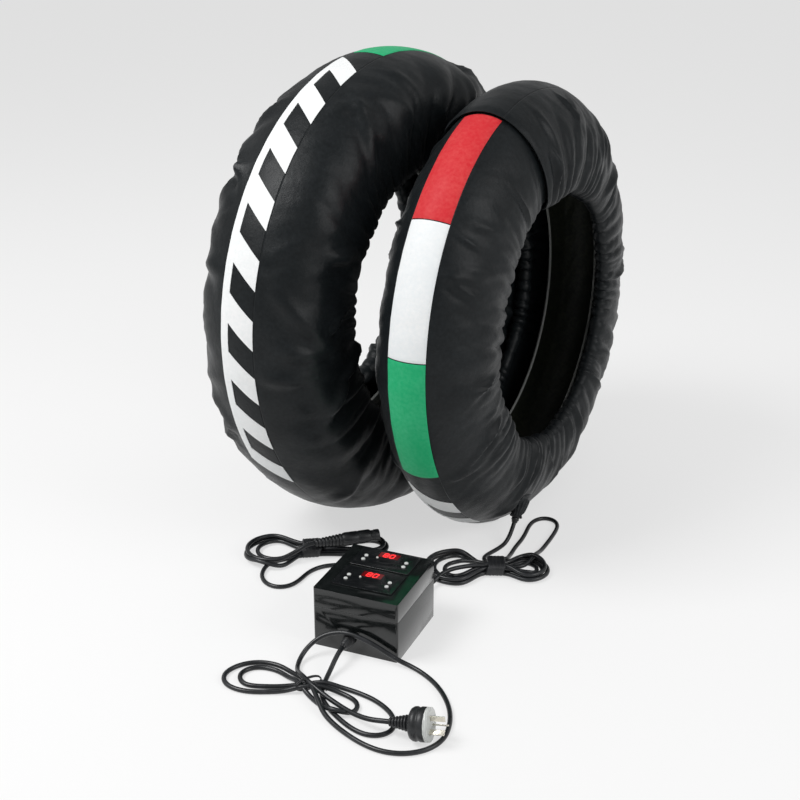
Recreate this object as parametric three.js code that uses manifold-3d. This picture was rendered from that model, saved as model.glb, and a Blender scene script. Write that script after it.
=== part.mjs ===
// Motorcycle tyre warmer set: a front and a rear sleeve, a control box with two controllers,
// a mains cord and two leads.
// Millimetres, +Z up. The origin is on the floor under the centre of the front sleeve, +X along its axle line.

import * as THREE from 'three';
import { mergeVertices } from 'three/addons/utils/BufferGeometryUtils.js';
import Module from 'manifold-3d';

const wasm = await Module();
wasm.setup();

// Sleeves

const clearance = 0.3; // gap between touching pieces
const facetGap = 0.6; // more between rings with different facets
const stepsRound = 54; // facets round a sleeve
const overlapSteps = 7; // facets of the closing overlap
const liftSteps = 5; // facets over which the outer end rises on to the inner end
const coverWall = 4.5; // cover fabric with its quilting
const overlapLift = 6.1; // how far the outer end of the cover stands over the inner end
const flatSpot = 3; // how far the weight flattens the foot of a sleeve
const innerFlatSpot = 4.6; // the same inside
const footReach = 8.75; // what of the crown is lower than this over its lowest line comes down flat on the floor
const insulationThickness = 2.7;
const elementThickness = 1.2;
const liningThickness = 2;
const innerStepsRound = 28; // facets round the layers inside
const elasticSize = 5; // square section of the hem elastic
const patchThickness = 0.8; // stripe panels and motif
const patchGap = 0.7; // under a panel, so that its chords stay clear of the cover
const stripeSteps = 5; // facets along one colour field
const tapeThickness = 0.9; // hook tape in the overlap
const tabThickness = 2.4;

const frontSleeve = {
  name: 'front',
  centre: [0, 0],
  turned: 0,
  edgeAngle: 109.5, // where the overlap's edge lies, from +Y over the top
  radius: 310,
  halfWidth: 72,
  shoulderDepth: 95,
  hemRadius: 180,
  hemOffset: 66,
  bandHalf: 27, // half width of the stripe
  beadRadius: 222,
  beadOffset: 38,
  liningSideRadius: 250,
  liningSideOffset: 51,
  pleatDepth: 5,
  stripes: ['red', 'white', 'green'],
  motifStart: 215,
  motifTeeth: 3,
  tabStep: 28, // where the lead leaves the cover
  tabRows: [46, 25],
};

const rearSleeve = {
  name: 'rear',
  centre: [-186, -46],
  turned: -3.4,
  edgeAngle: -5,
  radius: 331.5,
  halfWidth: 84,
  shoulderDepth: 62,
  hemRadius: 186,
  hemOffset: 78,
  bandHalf: 25,
  beadRadius: 224,
  beadOffset: 58,
  liningSideRadius: 262,
  liningSideOffset: 70,
  pleatDepth: 6,
  stripes: ['red', 'white', 'green'],
  motifStart: 99,
  motifTeeth: 9,
  tabStep: 46,
  tabRows: [134, 155],
};

// Control box

const boxPlace = [-37.4, -470.8]; // front left corner of the foot
const boxTurned = 6.6;
const boxLength = 112.6;
const boxDepth = 121.4;
const boxHeight = 80.3;
const boxWall = 2.6;
const boxCorner = 3;
const lidHeight = 25;
const lipDepth = 6; // lid lip inside the base
const lipWall = 1.8;
const bezelLength = 80;
const bezelDepth = 47;
const bezelProud = 1.6;
const bezelCorner = 2;
const housingInset = 3; // housing edge inside the bezel edge
const housingWall = 1.6;
const housingDepth = 34;
const bezelMargin = 2.9; // behind the second bezel
const bezelStarts = [18.5, boxDepth - bezelDepth - bezelMargin]; // front edges of the two bezels
const displaySize = [27, 13];
const displayPlace = [0, 12]; // from the bezel's centre
const displayRecess = 0.5;
const displayDepth = 6;
const buttonRadius = 2.6;
const buttonProud = 1.4; // over the bezel
const buttonFlange = 1; // extra radius of the retaining flange
const buttonFlangeDepth = 1.2;
const buttonBore = 0.3; // running gap round the button
const buttonTravel = 0.6;
const buttonColumns = [-27.5, 27.5];
const buttonRows = [-8, 2];
const bezelPlate = 2.4; // thickness of the face that the buttons pass through
const boardThickness = 1.6;
const switchSize = 6;
const powerBoardSize = [88, 96];
const powerBoardLift = 6;
const powerPost = 6; // square posts under its corners
const relaySize = [19, 15.5, 15];
const relayPlace = [20, -8]; // from the middle of the board, one on each side
const terminalSize = [50, 9, 9];
const terminalPlace = 20; // behind the middle of the board
const reliefHeight = 19; // axis of the strain reliefs over the floor
const reliefRadius = 7.5;
const reliefStub = 5.5; // radius where it passes the wall
const reliefTip = 4;
const reliefNose = 22; // length outside the box
const mainsReliefAt = 49; // along the front face
const rearReliefAt = 30; // along the back face
const frontReliefAt = 82;

// Cords

const cordSides = 8;
const cordDiameter = 6;
const hankLift = 1.9; // strands over the floor, with the tie under them
const tieWidth = 24;
const tieThickness = 1.5;
const waistBeyondTie = 9; // straight waist on each side of the tie

const frontHank = {
  name: 'front_lead',
  centre: [69, -203],
  turned: 27.7,
  length: 172,
  lobes: [45, 32],
  waist: 16,
  tieAt: 12,
  height: 15,
};
const rearHank = {
  name: 'rear_lead',
  centre: [-160, -272],
  turned: 37,
  length: 202,
  lobes: [42, 26],
  waist: 17,
  tieAt: -8,
  height: 14,
};

const connectorPlace = [-120, -256];
const connectorTurned = 45;
const connectorRadius = 9.5;
const connectorBody = 52;
const connectorRelief = 40;
const ribHeight = 1; // of the ribbed strain reliefs

const plugPlace = [171, -579, 20.5]; // middle of the plug's body
const plugTurned = 12; // direction of the pins, from +X towards +Y
const plugTilt = 7; // cord end tipped down
const plugRadius = 19.5;
const plugBodyLength = 17;
const plugDiscRadius = 19.8;
const plugDiscThickness = 5;
const plugReliefLength = 27;
const plugReliefTip = 4.2;
const pinLength = 17;
const pinSize = [1.6, 6.3]; // thickness and width
const pinCircle = 8.5;
const pinSpread = 120; // degrees between pins

const bootLength = 30;
const bootRadius = 6.5;
const bootTip = 4;
const bootDirection = [0.05, -0.66, -0.75];
const bootAt = 35; // section angle of its seat
const bootBlockDepth = 20; // how far the block that trims it reaches into the sleeve

// Routes of the free cords, by hand: along the floor, over each crossing and over the strain relief
const mainsRoute = [
  [13.9, -487.4, 19], [15, -497, 18], [16.5, -509, 14], [18, -521, 8.5], [20, -534, 4.5], [25, -550, 3],
  [34, -566, 3], [49, -579, 3], [70, -591, 3], [93, -601, 3], [116, -605, 3],
  [134, -596, 3], [138, -577, 3], [122, -556, 3], [95, -543, 3], [71, -539, 3],
  [47, -540, 4], [24, -547, 8], [4, -558, 5], [-17, -571, 3], [-38, -583, 3],
  [-60, -590, 3], [-77, -574, 3], [-69, -553, 3], [-45, -546, 3], [-22, -552, 4],
  [-1, -562, 9], [20, -572, 4], [42, -582, 4], [64, -590, 9], [84, -577, 4],
  [77, -556, 3], [52, -550, 4], [29, -556, 9], [10, -566, 9], [-10, -579, 4],
  [-31, -592, 3], [-54, -602, 3], [-79, -600, 3], [-93, -583, 3], [-88, -559, 3],
  [-71, -542, 3], [-47, -536, 3], [-24, -541, 3], [-2, -550, 6], [18, -563, 12],
  [36, -579, 10], [55, -595, 5], [77, -606, 3], [100, -615, 3], [123, -621, 3],
  [148, -622, 3], [172, -613, 3], [190, -594, 3], [196, -569, 3], [190, -543, 3],
  [178, -519, 3], [161, -498, 3], [140, -480, 3], [117, -467, 3], [96, -462, 5],
  [79, -463.5, 9], [62, -465.5, 16], [46, -467.5, 23], [30, -469.5, 28], [14, -471, 30.5],
  [0, -474, 29.5], [-13, -480, 26], [-23, -488, 20], [-29, -499, 13], [-30, -512, 7],
  [-26, -526, 4], [-17, -539, 6], [0, -554, 13], [22, -565, 13], [45, -571, 9],
  [68, -578, 8], [90, -585, 9.5], [111, -589.5, 12.5], [124.5, -588.8, 14.7], [136, -586.4, 16.1],
];
const frontTailRoute = [
  [61.7, -100, 25.9], [61.8, -105.5, 19.5], [61, -113, 10.5], [59.5, -124, 4.5], [57.5, -138, 3],
  [54, -153, 3], [51, -168, 3.5], [52.3, -181, 4.5], [57.1, -190.6, 5],
];
const frontLoopRoute = [
  [86.6, -175.1, 5], [82.5, -163, 3.8], [79, -145, 3], [76, -124, 3], [75, -100, 3], [72, -74, 3], [67, -52, 3],
  [67, -34, 3], [78, -26, 3], [92, -38, 3], [103, -62, 3], [109, -90, 3], [112, -118, 3], [114.3, -145.3, 5],
];
const frontFeedRoute = [
  [27.6, -318.5, 19], [27, -308, 17.5], [25.5, -296, 12], [24.5, -283, 6.5], [26.5, -267.5, 5],
];
const rearFeedRoute = [
  [-24.1, -324.5, 19], [-25.5, -314, 17.5], [-29, -301, 12], [-37, -287, 6], [-53, -277, 3], [-72, -275, 3],
  [-92, -280, 3], [-112, -289, 3], [-130, -304, 3], [-138, -326, 3], [-137, -350, 3], [-140, -371, 3],
  [-156, -383, 3], [-174, -379, 3], [-187, -368, 3], [-193, -358, 3.5], [-195.3, -348.6, 4.5],
];

const finish = (color, roughness, metalness = 0) => new THREE.MeshStandardMaterial({ color, roughness, metalness });
const cloth = (colour, roughness = 0.92) => finish(colour, roughness);
const plastic = (colour, roughness = 0.35) => finish(colour, roughness);
const metal = (colour) => finish(colour, 0.3, 1);

const colours = {
  cover: 0x14181a,
  insulation: 0x8c8a84,
  element: 0x3a3a3c,
  lining: 0x1b1d1c,
  elastic: 0x101112,
  tape: 0x161616,
  red: 0xc8202c,
  white: 0xe9ecec,
  green: 0x1fa565,
  box: 0x151817,
  rubber: 0x141516,
  display: 0xa01018,
  button: 0xc9cccb,
  board: 0x1c5a36,
  metal: 0xc4c2b8,
  disc: 0xd5dbd8,
};

const radians = THREE.MathUtils.degToRad;

// Closed bodies from triangles, with the faces turned outwards

function bodyFrom(triangles) {
  let volume = 0;
  for (const [a, b, c] of triangles) {
    volume += a.dot(b.clone().cross(c));
  }
  const positions = [];
  for (const [a, b, c] of triangles) {
    const corners = volume > 0 ? [a, b, c] : [a, c, b];
    corners.forEach((corner) => positions.push(corner.x, corner.y, corner.z));
  }
  const geometry = new THREE.BufferGeometry();
  geometry.setAttribute('position', new THREE.Float32BufferAttribute(positions, 3));
  return mergeVertices(geometry, 1e-4);
}

// Joins a row of closed sections into one body. The last section meets the first, or both ends get a cap.
function sweep(sections, closed, outline = []) {
  const triangles = [];
  const count = sections[0].length;
  const last = closed ? sections.length : sections.length - 1;
  for (let i = 0; i < last; i += 1) {
    const here = sections[i];
    const next = sections[(i + 1) % sections.length];
    for (let j = 0; j < count; j += 1) {
      const k = (j + 1) % count;
      triangles.push([here[j], next[j], next[k]], [here[j], next[k], here[k]]);
    }
  }
  if (!closed) {
    const end = sections[sections.length - 1];
    for (const [a, b, c] of THREE.ShapeUtils.triangulateShape(outline, [])) {
      const [p, q] = THREE.ShapeUtils.isClockWise(outline) ? [b, c] : [c, b];
      triangles.push([sections[0][a], sections[0][q], sections[0][p]], [end[a], end[p], end[q]]);
    }
  }
  return bodyFrom(triangles);
}

// A sheet made of cells on a grid. `place` gives a grid node's point at a height over the surface.
function cellSheet(columns, rows, present, place, low, high) {
  const triangles = [];
  const has = (c, r) => c >= 0 && r >= 0 && c < columns && r < rows && present(c, r);
  const wall = (c0, r0, c1, r1) => {
    const [a, b] = [place(c0, r0, low), place(c1, r1, low)];
    const [d, e] = [place(c0, r0, high), place(c1, r1, high)];
    triangles.push([a, b, e], [a, e, d]);
  };
  for (let c = 0; c < columns; c += 1) {
    for (let r = 0; r < rows; r += 1) {
      if (!has(c, r)) continue;
      for (const lift of [high, low]) {
        const [p, q] = [place(c, r, lift), place(c + 1, r, lift)];
        const [s, t] = [place(c + 1, r + 1, lift), place(c, r + 1, lift)];
        if (lift === high) triangles.push([p, q, s], [p, s, t]);
        else triangles.push([p, s, q], [p, t, s]);
      }
      if (!has(c, r - 1)) wall(c, r, c + 1, r);
      if (!has(c + 1, r)) wall(c + 1, r, c + 1, r + 1);
      if (!has(c, r + 1)) wall(c + 1, r + 1, c, r + 1);
      if (!has(c - 1, r)) wall(c, r + 1, c, r);
    }
  }
  return bodyFrom(triangles);
}

// Joining and cutting

function toSolid(geometry) {
  const plain = geometry.index ? geometry.toNonIndexed() : geometry.clone();
  plain.deleteAttribute('normal');
  plain.deleteAttribute('uv');
  const merged = mergeVertices(plain, 1e-4);
  return new wasm.Manifold(new wasm.Mesh({
    numProp: 3,
    vertProperties: new Float32Array(merged.attributes.position.array),
    triVerts: new Uint32Array(merged.index.array),
  }));
}

function toGeometry(solid) {
  const mesh = solid.getMesh();
  const geometry = new THREE.BufferGeometry();
  geometry.setAttribute('position', new THREE.BufferAttribute(new Float32Array(mesh.vertProperties), 3));
  geometry.setIndex(new THREE.BufferAttribute(new Uint32Array(mesh.triVerts), 1));
  return geometry;
}

function cut(geometry, ...tools) {
  return toGeometry(tools.reduce((solid, tool) => solid.subtract(toSolid(tool)), toSolid(geometry)));
}

function join(geometry, ...others) {
  return toGeometry(others.reduce((solid, other) => solid.add(toSolid(other)), toSolid(geometry)));
}

const set = new THREE.Group();

function addMesh(name, geometry, material, parent = set) {
  const mesh = new THREE.Mesh(geometry, material);
  mesh.name = name;
  parent.add(mesh);
  return mesh;
}

// Sleeve sections: an elliptical crown and shoulders, met by a side that leans in to the hem

function sectionPoint(sleeve, degrees, inset) {
  const s = radians(degrees);
  return new THREE.Vector2(
    (sleeve.halfWidth - inset) * Math.cos(s),
    sleeve.radius - sleeve.shoulderDepth + (sleeve.shoulderDepth - inset) * Math.sin(s),
  );
}

function bandDegrees(sleeve) {
  return THREE.MathUtils.radToDeg(Math.acos(sleeve.bandHalf / sleeve.halfWidth));
}

// Section angles from the near shoulder over the crown to the far shoulder
function acrossCrown(sleeve, shoulders) {
  const near = [...shoulders, bandDegrees(sleeve), 90];
  return [...near, ...near.slice(0, -1).reverse().map((degrees) => 180 - degrees)];
}

function onWheel(section, degrees) {
  const a = radians(degrees);
  return new THREE.Vector3(section.x, section.y * Math.cos(a), section.y * Math.sin(a));
}

function stepAngle(sleeve, step) {
  const start = sleeve.edgeAngle - overlapSteps * 360 / stepsRound;
  return start + step * 360 / stepsRound;
}

// Height of the gathers: none on the stripe and under the overlap, full at the shoulders and hems
function pleat(sleeve, step, degrees) {
  const underFlap = step <= overlapSteps + 1 ? 0 : 1;
  const fromBand = Math.abs(Math.cos(radians(degrees))) - sleeve.bandHalf / sleeve.halfWidth;
  const reach = THREE.MathUtils.smoothstep(fromBand, 0, 0.45);
  const slow = 0.75 + 0.25 * Math.sin(step * 0.83 + degrees * 0.02);
  return underFlap * sleeve.pleatDepth * reach * slow * (step % 2);
}

function flattened(sleeve, point, floor) {
  point.z = Math.max(point.z, -sleeve.radius + floor);
  return point;
}

// The foot of the crown lies flat on the floor
function flattenedOutside(sleeve, point) {
  if (point.z < -sleeve.radius + footReach) point.z = -sleeve.radius + flatSpot;
  return point;
}

const outerShoulders = [5, 25, 46];
const innerShoulders = [5, 46];

// Outer surface of the cover at a step round and a section angle; `lift` is a height over it
function coverPoint(sleeve, step, degrees, lift) {
  const inset = -lift - pleat(sleeve, step, degrees);
  return onWheel(sectionPoint(sleeve, degrees, inset), stepAngle(sleeve, step));
}

function coverSection(sleeve, step) {
  const raise = overlapLift * THREE.MathUtils.smoothstep(step, stepsRound - liftSteps, stepsRound);
  const hem = (side, inset) => new THREE.Vector2(side * (sleeve.hemOffset - inset), sleeve.hemRadius);
  const angle = stepAngle(sleeve, step);
  const hemGather = 0.5 * sleeve.pleatDepth * (step % 2) * (step <= overlapSteps + 1 ? 0 : 1);
  const outer = acrossCrown(sleeve, outerShoulders).map((degrees) => coverPoint(sleeve, step, degrees, raise));
  const inner = acrossCrown(sleeve, innerShoulders)
    .map((degrees) => onWheel(sectionPoint(sleeve, degrees, coverWall - raise), angle));
  const nearOut = onWheel(hem(1, -raise - hemGather), angle);
  const farOut = onWheel(hem(-1, -raise - hemGather), angle);
  const nearIn = onWheel(hem(1, coverWall - raise), angle);
  const farIn = onWheel(hem(-1, coverWall - raise), angle);
  const outside = [nearOut, ...outer, farOut].map((point) => flattenedOutside(sleeve, point));
  const inside = [farIn, ...inner.reverse(), nearIn].map((point) => flattened(sleeve, point, innerFlatSpot));
  return [...outside, ...inside];
}

function makeCover(sleeve) {
  const sections = [];
  for (let step = 0; step <= stepsRound + overlapSteps; step += 1) {
    sections.push(coverSection(sleeve, step));
  }
  const angle = radians(stepAngle(sleeve, 0));
  const outline = sections[0].map((p) => new THREE.Vector2(p.x, p.y * Math.cos(angle) + p.z * Math.sin(angle)));
  return sweep(sections, false, outline);
}

const layerShoulders = [46];
const insulationInset = coverWall + clearance + facetGap;
const elementInset = insulationInset + insulationThickness + clearance;
const liningInset = elementInset + elementThickness + clearance;

function ringOf(outline, steps) {
  const sections = [];
  for (let i = 0; i < steps; i += 1) {
    sections.push(outline.map((point) => onWheel(point, i * 360 / steps)));
  }
  return sweep(sections, true);
}

function makeInsulation(sleeve) {
  const across = acrossCrown(sleeve, layerShoulders);
  const outer = across.map((degrees) => sectionPoint(sleeve, degrees, insulationInset));
  const inner = across.map((degrees) => sectionPoint(sleeve, degrees, insulationInset + insulationThickness));
  return ringOf([...outer, ...inner.reverse()], innerStepsRound);
}

// One meander of resistance tape: every second column runs across the tread, joined at alternate ends
function makeElement(sleeve) {
  const across = acrossCrown(sleeve, layerShoulders);
  const rows = across.length - 1;
  const columns = innerStepsRound - 1;
  const present = (c, r) => c % 2 === 0 || r === (c % 4 === 1 ? 0 : rows - 1);
  const place = (c, r, lift) => onWheel(sectionPoint(sleeve, across[r], elementInset + lift), c * 360 / innerStepsRound);
  return cellSheet(columns, rows, present, place, 0, elementThickness);
}

function makeLining(sleeve) {
  const channel = (inset, thickness) => {
    const side = new THREE.Vector2(sleeve.liningSideOffset - thickness, sleeve.liningSideRadius);
    const bead = new THREE.Vector2(sleeve.beadOffset - thickness, sleeve.beadRadius);
    const mirrored = (p) => new THREE.Vector2(-p.x, p.y);
    const crown = acrossCrown(sleeve, layerShoulders)
      .map((degrees) => sectionPoint(sleeve, degrees, inset));
    return [bead, side, ...crown, mirrored(side), mirrored(bead)];
  };
  const outer = channel(liningInset, 0);
  const inner = channel(liningInset + liningThickness, liningThickness);
  return ringOf([...outer, ...inner.reverse()], innerStepsRound);
}

function makeElastic(sleeve, side) {
  const half = elasticSize / 2;
  const x = sleeve.hemOffset - coverWall - half - 2 * clearance;
  const r = sleeve.hemRadius + half;
  const outline = [[-half, -half], [half, -half], [half, half], [-half, half]]
    .map(([dx, dr]) => new THREE.Vector2(side * (x + dx), r + dr));
  return ringOf(outline, innerStepsRound);
}

// A panel on the stripe band, from one step of the cover to another
function makeStripe(sleeve, firstStep, lastStep) {
  const band = bandDegrees(sleeve);
  const rows = [band, 90, 180 - band];
  const place = (c, r, lift) => coverPoint(sleeve, firstStep + c, rows[r], lift);
  return cellSheet(lastStep - firstStep, 2, () => true, place, clearance, clearance + patchThickness);
}

const toothSteps = 4; // columns from one bar of the motif to the next
const railRow = 3;

// Slanted bars on one rail, wrapped on the crown
function makeMotif(sleeve) {
  const band = bandDegrees(sleeve);
  const rows = [band, (band + 90) / 2, 90, (270 - band) / 2, 180 - band];
  const column = 360 / stepsRound / 2;
  const columns = sleeve.motifTeeth * toothSteps - 2;
  const present = (c, r) => r === railRow || c % toothSteps < 2;
  const slant = (r) => column * (rows.length - 1 - r) * 0.55;
  const place = (c, r, lift) => {
    const degrees = sleeve.motifStart + c * column + slant(r);
    return onWheel(sectionPoint(sleeve, rows[r], -lift), degrees);
  };
  return cellSheet(columns, rows.length - 1, present, place, patchGap, patchGap + patchThickness);
}

// Hook tape between the two layers of the overlap
function makeClosureTape(sleeve) {
  const across = acrossCrown(sleeve, layerShoulders);
  const place = (c, r, lift) => onWheel(sectionPoint(sleeve, across[r], -lift), stepAngle(sleeve, 2 + c));
  return cellSheet(overlapSteps - 3, across.length - 1, () => true, place, clearance, clearance + tapeThickness);
}

// Fabric patch where the lead leaves the cover, on a shoulder
function makeTab(sleeve) {
  const place = (c, r, lift) => coverPoint(sleeve, sleeve.tabStep + c, sleeve.tabRows[r], lift);
  return cellSheet(1, 1, () => true, place, clearance, clearance + tabThickness);
}

function placeSleeve(sleeve) {
  const group = new THREE.Group();
  group.position.set(sleeve.centre[0], sleeve.centre[1], sleeve.radius - flatSpot);
  group.rotation.z = radians(sleeve.turned);
  set.add(group);
  return group;
}

function makeSleeve(sleeve) {
  const group = placeSleeve(sleeve);
  const add = (name, geometry, material) => addMesh(`${sleeve.name}_${name}`, geometry, material, group);
  add('cover', makeCover(sleeve), cloth(colours.cover));
  add('insulation', makeInsulation(sleeve), cloth(colours.insulation));
  add('heating_element', makeElement(sleeve), plastic(colours.element, 0.6));
  add('lining', makeLining(sleeve), cloth(colours.lining, 0.7));
  add('hem_elastic_near', makeElastic(sleeve, 1), cloth(colours.elastic));
  add('hem_elastic_far', makeElastic(sleeve, -1), cloth(colours.elastic));
  add('closure_tape', makeClosureTape(sleeve), cloth(colours.tape));
  sleeve.stripes.forEach((colour, index) => {
    const first = overlapSteps + index * stripeSteps;
    add(`stripe_${colour}`, makeStripe(sleeve, first, first + stripeSteps), cloth(colours[colour], 0.7));
  });
  add('motif', makeMotif(sleeve), cloth(colours.white, 0.7));
  add('cable_tab', makeTab(sleeve), cloth(colours.cover));
  return group;
}

const [frontGroup] = [frontSleeve, rearSleeve].map(makeSleeve);

// Round pieces along an axis

function turned(profile, sides = 12) {
  const points = profile.map(([radius, along]) => new THREE.Vector2(radius, along));
  return new THREE.LatheGeometry(points, sides);
}

// Turns a lathe, whose axis is +Y, so that it points along `direction` from `start`
function pointed(geometry, start, direction) {
  const axis = new THREE.Vector3(...direction).normalize();
  const turn = new THREE.Quaternion().setFromUnitVectors(new THREE.Vector3(0, 1, 0), axis);
  const matrix = new THREE.Matrix4().compose(new THREE.Vector3(...start), turn, new THREE.Vector3(1, 1, 1));
  return geometry.clone().applyMatrix4(matrix);
}

function boxAt(size, middle) {
  return new THREE.BoxGeometry(...size).translate(...middle);
}

// Upright plate or block with rounded corners, standing at z = low
function roundedBlock(length, depth, height, corner, [x, y, low]) {
  const [a, b] = [length / 2, depth / 2];
  const shape = new THREE.Shape();
  shape.absarc(a - corner, b - corner, corner, 0, Math.PI / 2);
  shape.absarc(-a + corner, b - corner, corner, Math.PI / 2, Math.PI);
  shape.absarc(-a + corner, -b + corner, corner, Math.PI, Math.PI * 1.5);
  shape.absarc(a - corner, -b + corner, corner, Math.PI * 1.5, Math.PI * 2);
  return new THREE.ExtrudeGeometry(shape, { depth: height, bevelEnabled: false, curveSegments: 3 }).translate(x, y, low);
}

// Strain relief: a stub through the wall, a collar against it, a neck and a tapered nose
function reliefProfile(wall) {
  const collar = 5;
  const neck = reliefRadius - 2;
  return [
    [0, -wall - 3], [reliefStub, -wall - 3], [reliefStub, clearance], [reliefRadius, clearance],
    [reliefRadius, collar], [neck, collar + 2], [neck, reliefNose - 8], [reliefTip, reliefNose], [0, reliefNose],
  ];
}

// Control box, in its own frame: origin at the front left corner of its foot

const boxGroup = new THREE.Group();
boxGroup.position.set(...boxPlace, 0);
boxGroup.rotation.z = radians(boxTurned);
set.add(boxGroup);

const boxMiddle = [boxLength / 2, boxDepth / 2];
const lidUnderside = boxHeight - lidHeight;
const faceUnderside = boxHeight + bezelProud - bezelPlate;
const housingLength = bezelLength - 2 * housingInset;
const housingWidth = bezelDepth - 2 * housingInset;

function reliefHole(y) {
  return (x) => pointed(turned([[0, -10], [reliefStub + clearance, -10], [reliefStub + clearance, 10], [0, 10]]),
    [x, y, reliefHeight], [0, 1, 0]);
}

function makeBase() {
  const inside = 2 * boxWall;
  const outer = roundedBlock(boxLength, boxDepth, lidUnderside - clearance, boxCorner, [...boxMiddle, 0]);
  const hollow = roundedBlock(boxLength - inside, boxDepth - inside, boxHeight, boxCorner - 1, [...boxMiddle, boxWall]);
  const holes = [reliefHole(0)(mainsReliefAt), reliefHole(boxDepth)(rearReliefAt), reliefHole(boxDepth)(frontReliefAt)];
  return cut(outer, hollow, ...holes);
}

function makeLid() {
  const inside = 2 * boxWall;
  const lipOutside = inside + 2 * clearance;
  const lipInside = lipOutside + 2 * lipWall;
  const shell = roundedBlock(boxLength, boxDepth, lidHeight, boxCorner, [...boxMiddle, lidUnderside]);
  const lip = roundedBlock(boxLength - lipOutside, boxDepth - lipOutside, lipDepth + 2, boxCorner - 1,
    [...boxMiddle, lidUnderside - lipDepth]);
  const hollow = roundedBlock(boxLength - lipInside, boxDepth - lipInside, lidHeight + lipDepth - boxWall, boxCorner - 1,
    [...boxMiddle, lidUnderside - lipDepth]);
  const windows = bezelStarts.map((start) => boxAt(
    [housingLength + 2 * clearance, housingWidth + 2 * clearance, 4 * boxWall],
    [boxMiddle[0], start + bezelDepth / 2, boxHeight],
  ));
  return cut(join(shell, lip), hollow, ...windows);
}

// Controller front: a plate on the lid with a window and four button holes, and the housing under it
function makeBezel(y) {
  const plate = roundedBlock(bezelLength, bezelDepth, bezelProud - clearance, bezelCorner,
    [boxMiddle[0], y, boxHeight + clearance]);
  const housing = boxAt([housingLength, housingWidth, housingDepth],
    [boxMiddle[0], y, boxHeight + bezelProud - housingDepth / 2]);
  const hollow = boxAt([housingLength - 2 * housingWall, housingWidth - 2 * housingWall, housingDepth],
    [boxMiddle[0], y, faceUnderside - housingDepth / 2]);
  const window = boxAt([displaySize[0] + 2 * clearance, displaySize[1] + 2 * clearance, 3 * bezelPlate],
    [boxMiddle[0] + displayPlace[0], y + displayPlace[1], boxHeight]);
  const radius = buttonRadius + buttonBore;
  const holes = buttonPlaces(y).map(([x, holeY]) => pointed(
    turned([[0, -5], [radius, -5], [radius, 5], [0, 5]]), [x, holeY, boxHeight], [0, 0, 1],
  ));
  return cut(join(plate, housing), hollow, window, ...holes);
}

function buttonPlaces(y) {
  return buttonRows.flatMap((row) => buttonColumns.map((column) => [boxMiddle[0] + column, y + row]));
}

function makeButton([x, y]) {
  const flangeTop = faceUnderside - clearance;
  const top = boxHeight + bezelProud + buttonProud;
  const flange = buttonRadius + buttonFlange;
  return turned([
    [0, flangeTop - buttonFlangeDepth], [flange, flangeTop - buttonFlangeDepth], [flange, flangeTop],
    [buttonRadius, flangeTop], [buttonRadius, top - 0.6], [buttonRadius - 0.7, top], [0, top],
  ], 8).rotateX(Math.PI / 2).translate(x, y, 0);
}

const displayTop = boxHeight + bezelProud - displayRecess;
const boardTop = displayTop - displayDepth - clearance;

function makeDisplay(y) {
  const middle = [boxMiddle[0] + displayPlace[0], y + displayPlace[1], displayTop - displayDepth / 2];
  return boxAt([...displaySize, displayDepth], middle);
}

// Controller board with a switch block under each button
function makeBoard(y) {
  const size = [housingLength - 2 * housingWall - 2 * clearance, housingWidth - 2 * housingWall - 2 * clearance];
  const board = boxAt([...size, boardThickness], [boxMiddle[0], y, boardTop - boardThickness / 2]);
  const flangeFoot = faceUnderside - clearance - buttonFlangeDepth;
  const switchTop = flangeFoot - buttonTravel - clearance;
  const height = switchTop - boardTop + 1;
  const switches = buttonPlaces(y).map(([x, switchY]) => boxAt([switchSize, switchSize, height],
    [x, switchY, switchTop - height / 2]));
  return join(board, ...switches);
}

// Power board on four posts, with two relays and a row of terminals
function makePowerBoard() {
  const [length, depth] = powerBoardSize;
  const low = boxWall + clearance;
  const top = low + powerBoardLift;
  const [x, y] = boxMiddle;
  const board = boxAt([length, depth, boardThickness], [x, y, top + boardThickness / 2]);
  const post = boxAt([powerPost, powerPost, powerBoardLift + 1], [0, 0, low + (powerBoardLift + 1) / 2]);
  const posts = [-1, 1].flatMap((i) => [-1, 1].map((j) => post.clone()
    .translate(x + i * (length / 2 - powerPost), y + j * (depth / 2 - powerPost), 0)));
  const relays = [-1, 1].map((i) => boxAt(relaySize,
    [x + i * relayPlace[0], y + relayPlace[1], top + relaySize[2] / 2]));
  const terminals = boxAt(terminalSize, [x, y + terminalPlace, top + terminalSize[2] / 2]);
  return join(board, ...posts, ...relays, terminals);
}

const boxPlastic = plastic(colours.box, 0.18);
addMesh('box_base', makeBase(), boxPlastic, boxGroup);
addMesh('box_lid', makeLid(), boxPlastic, boxGroup);
addMesh('power_board', makePowerBoard(), plastic(colours.board, 0.6), boxGroup);
['front', 'rear'].forEach((channel, index) => {
  const y = bezelStarts[index] + bezelDepth / 2;
  addMesh(`${channel}_controller`, makeBezel(y), plastic(colours.box, 0.4), boxGroup);
  addMesh(`${channel}_board`, makeBoard(y), plastic(colours.board, 0.6), boxGroup);
  addMesh(`${channel}_display`, makeDisplay(y), plastic(colours.display, 0.3), boxGroup);
  buttonPlaces(y).forEach((place, button) => {
    addMesh(`${channel}_button_${button + 1}`, makeButton(place), plastic(colours.button, 0.3), boxGroup);
  });
});

function addRelief(name, x, y, outwards) {
  const relief = pointed(turned(reliefProfile(boxWall)), [x, y, reliefHeight], [0, outwards, 0]);
  addMesh(name, relief, plastic(colours.rubber, 0.6), boxGroup);
}

addRelief('mains_relief', mainsReliefAt, 0, -1);
addRelief('rear_lead_relief', rearReliefAt, boxDepth, 1);
addRelief('front_lead_relief', frontReliefAt, boxDepth, 1);

// Cords

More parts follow.
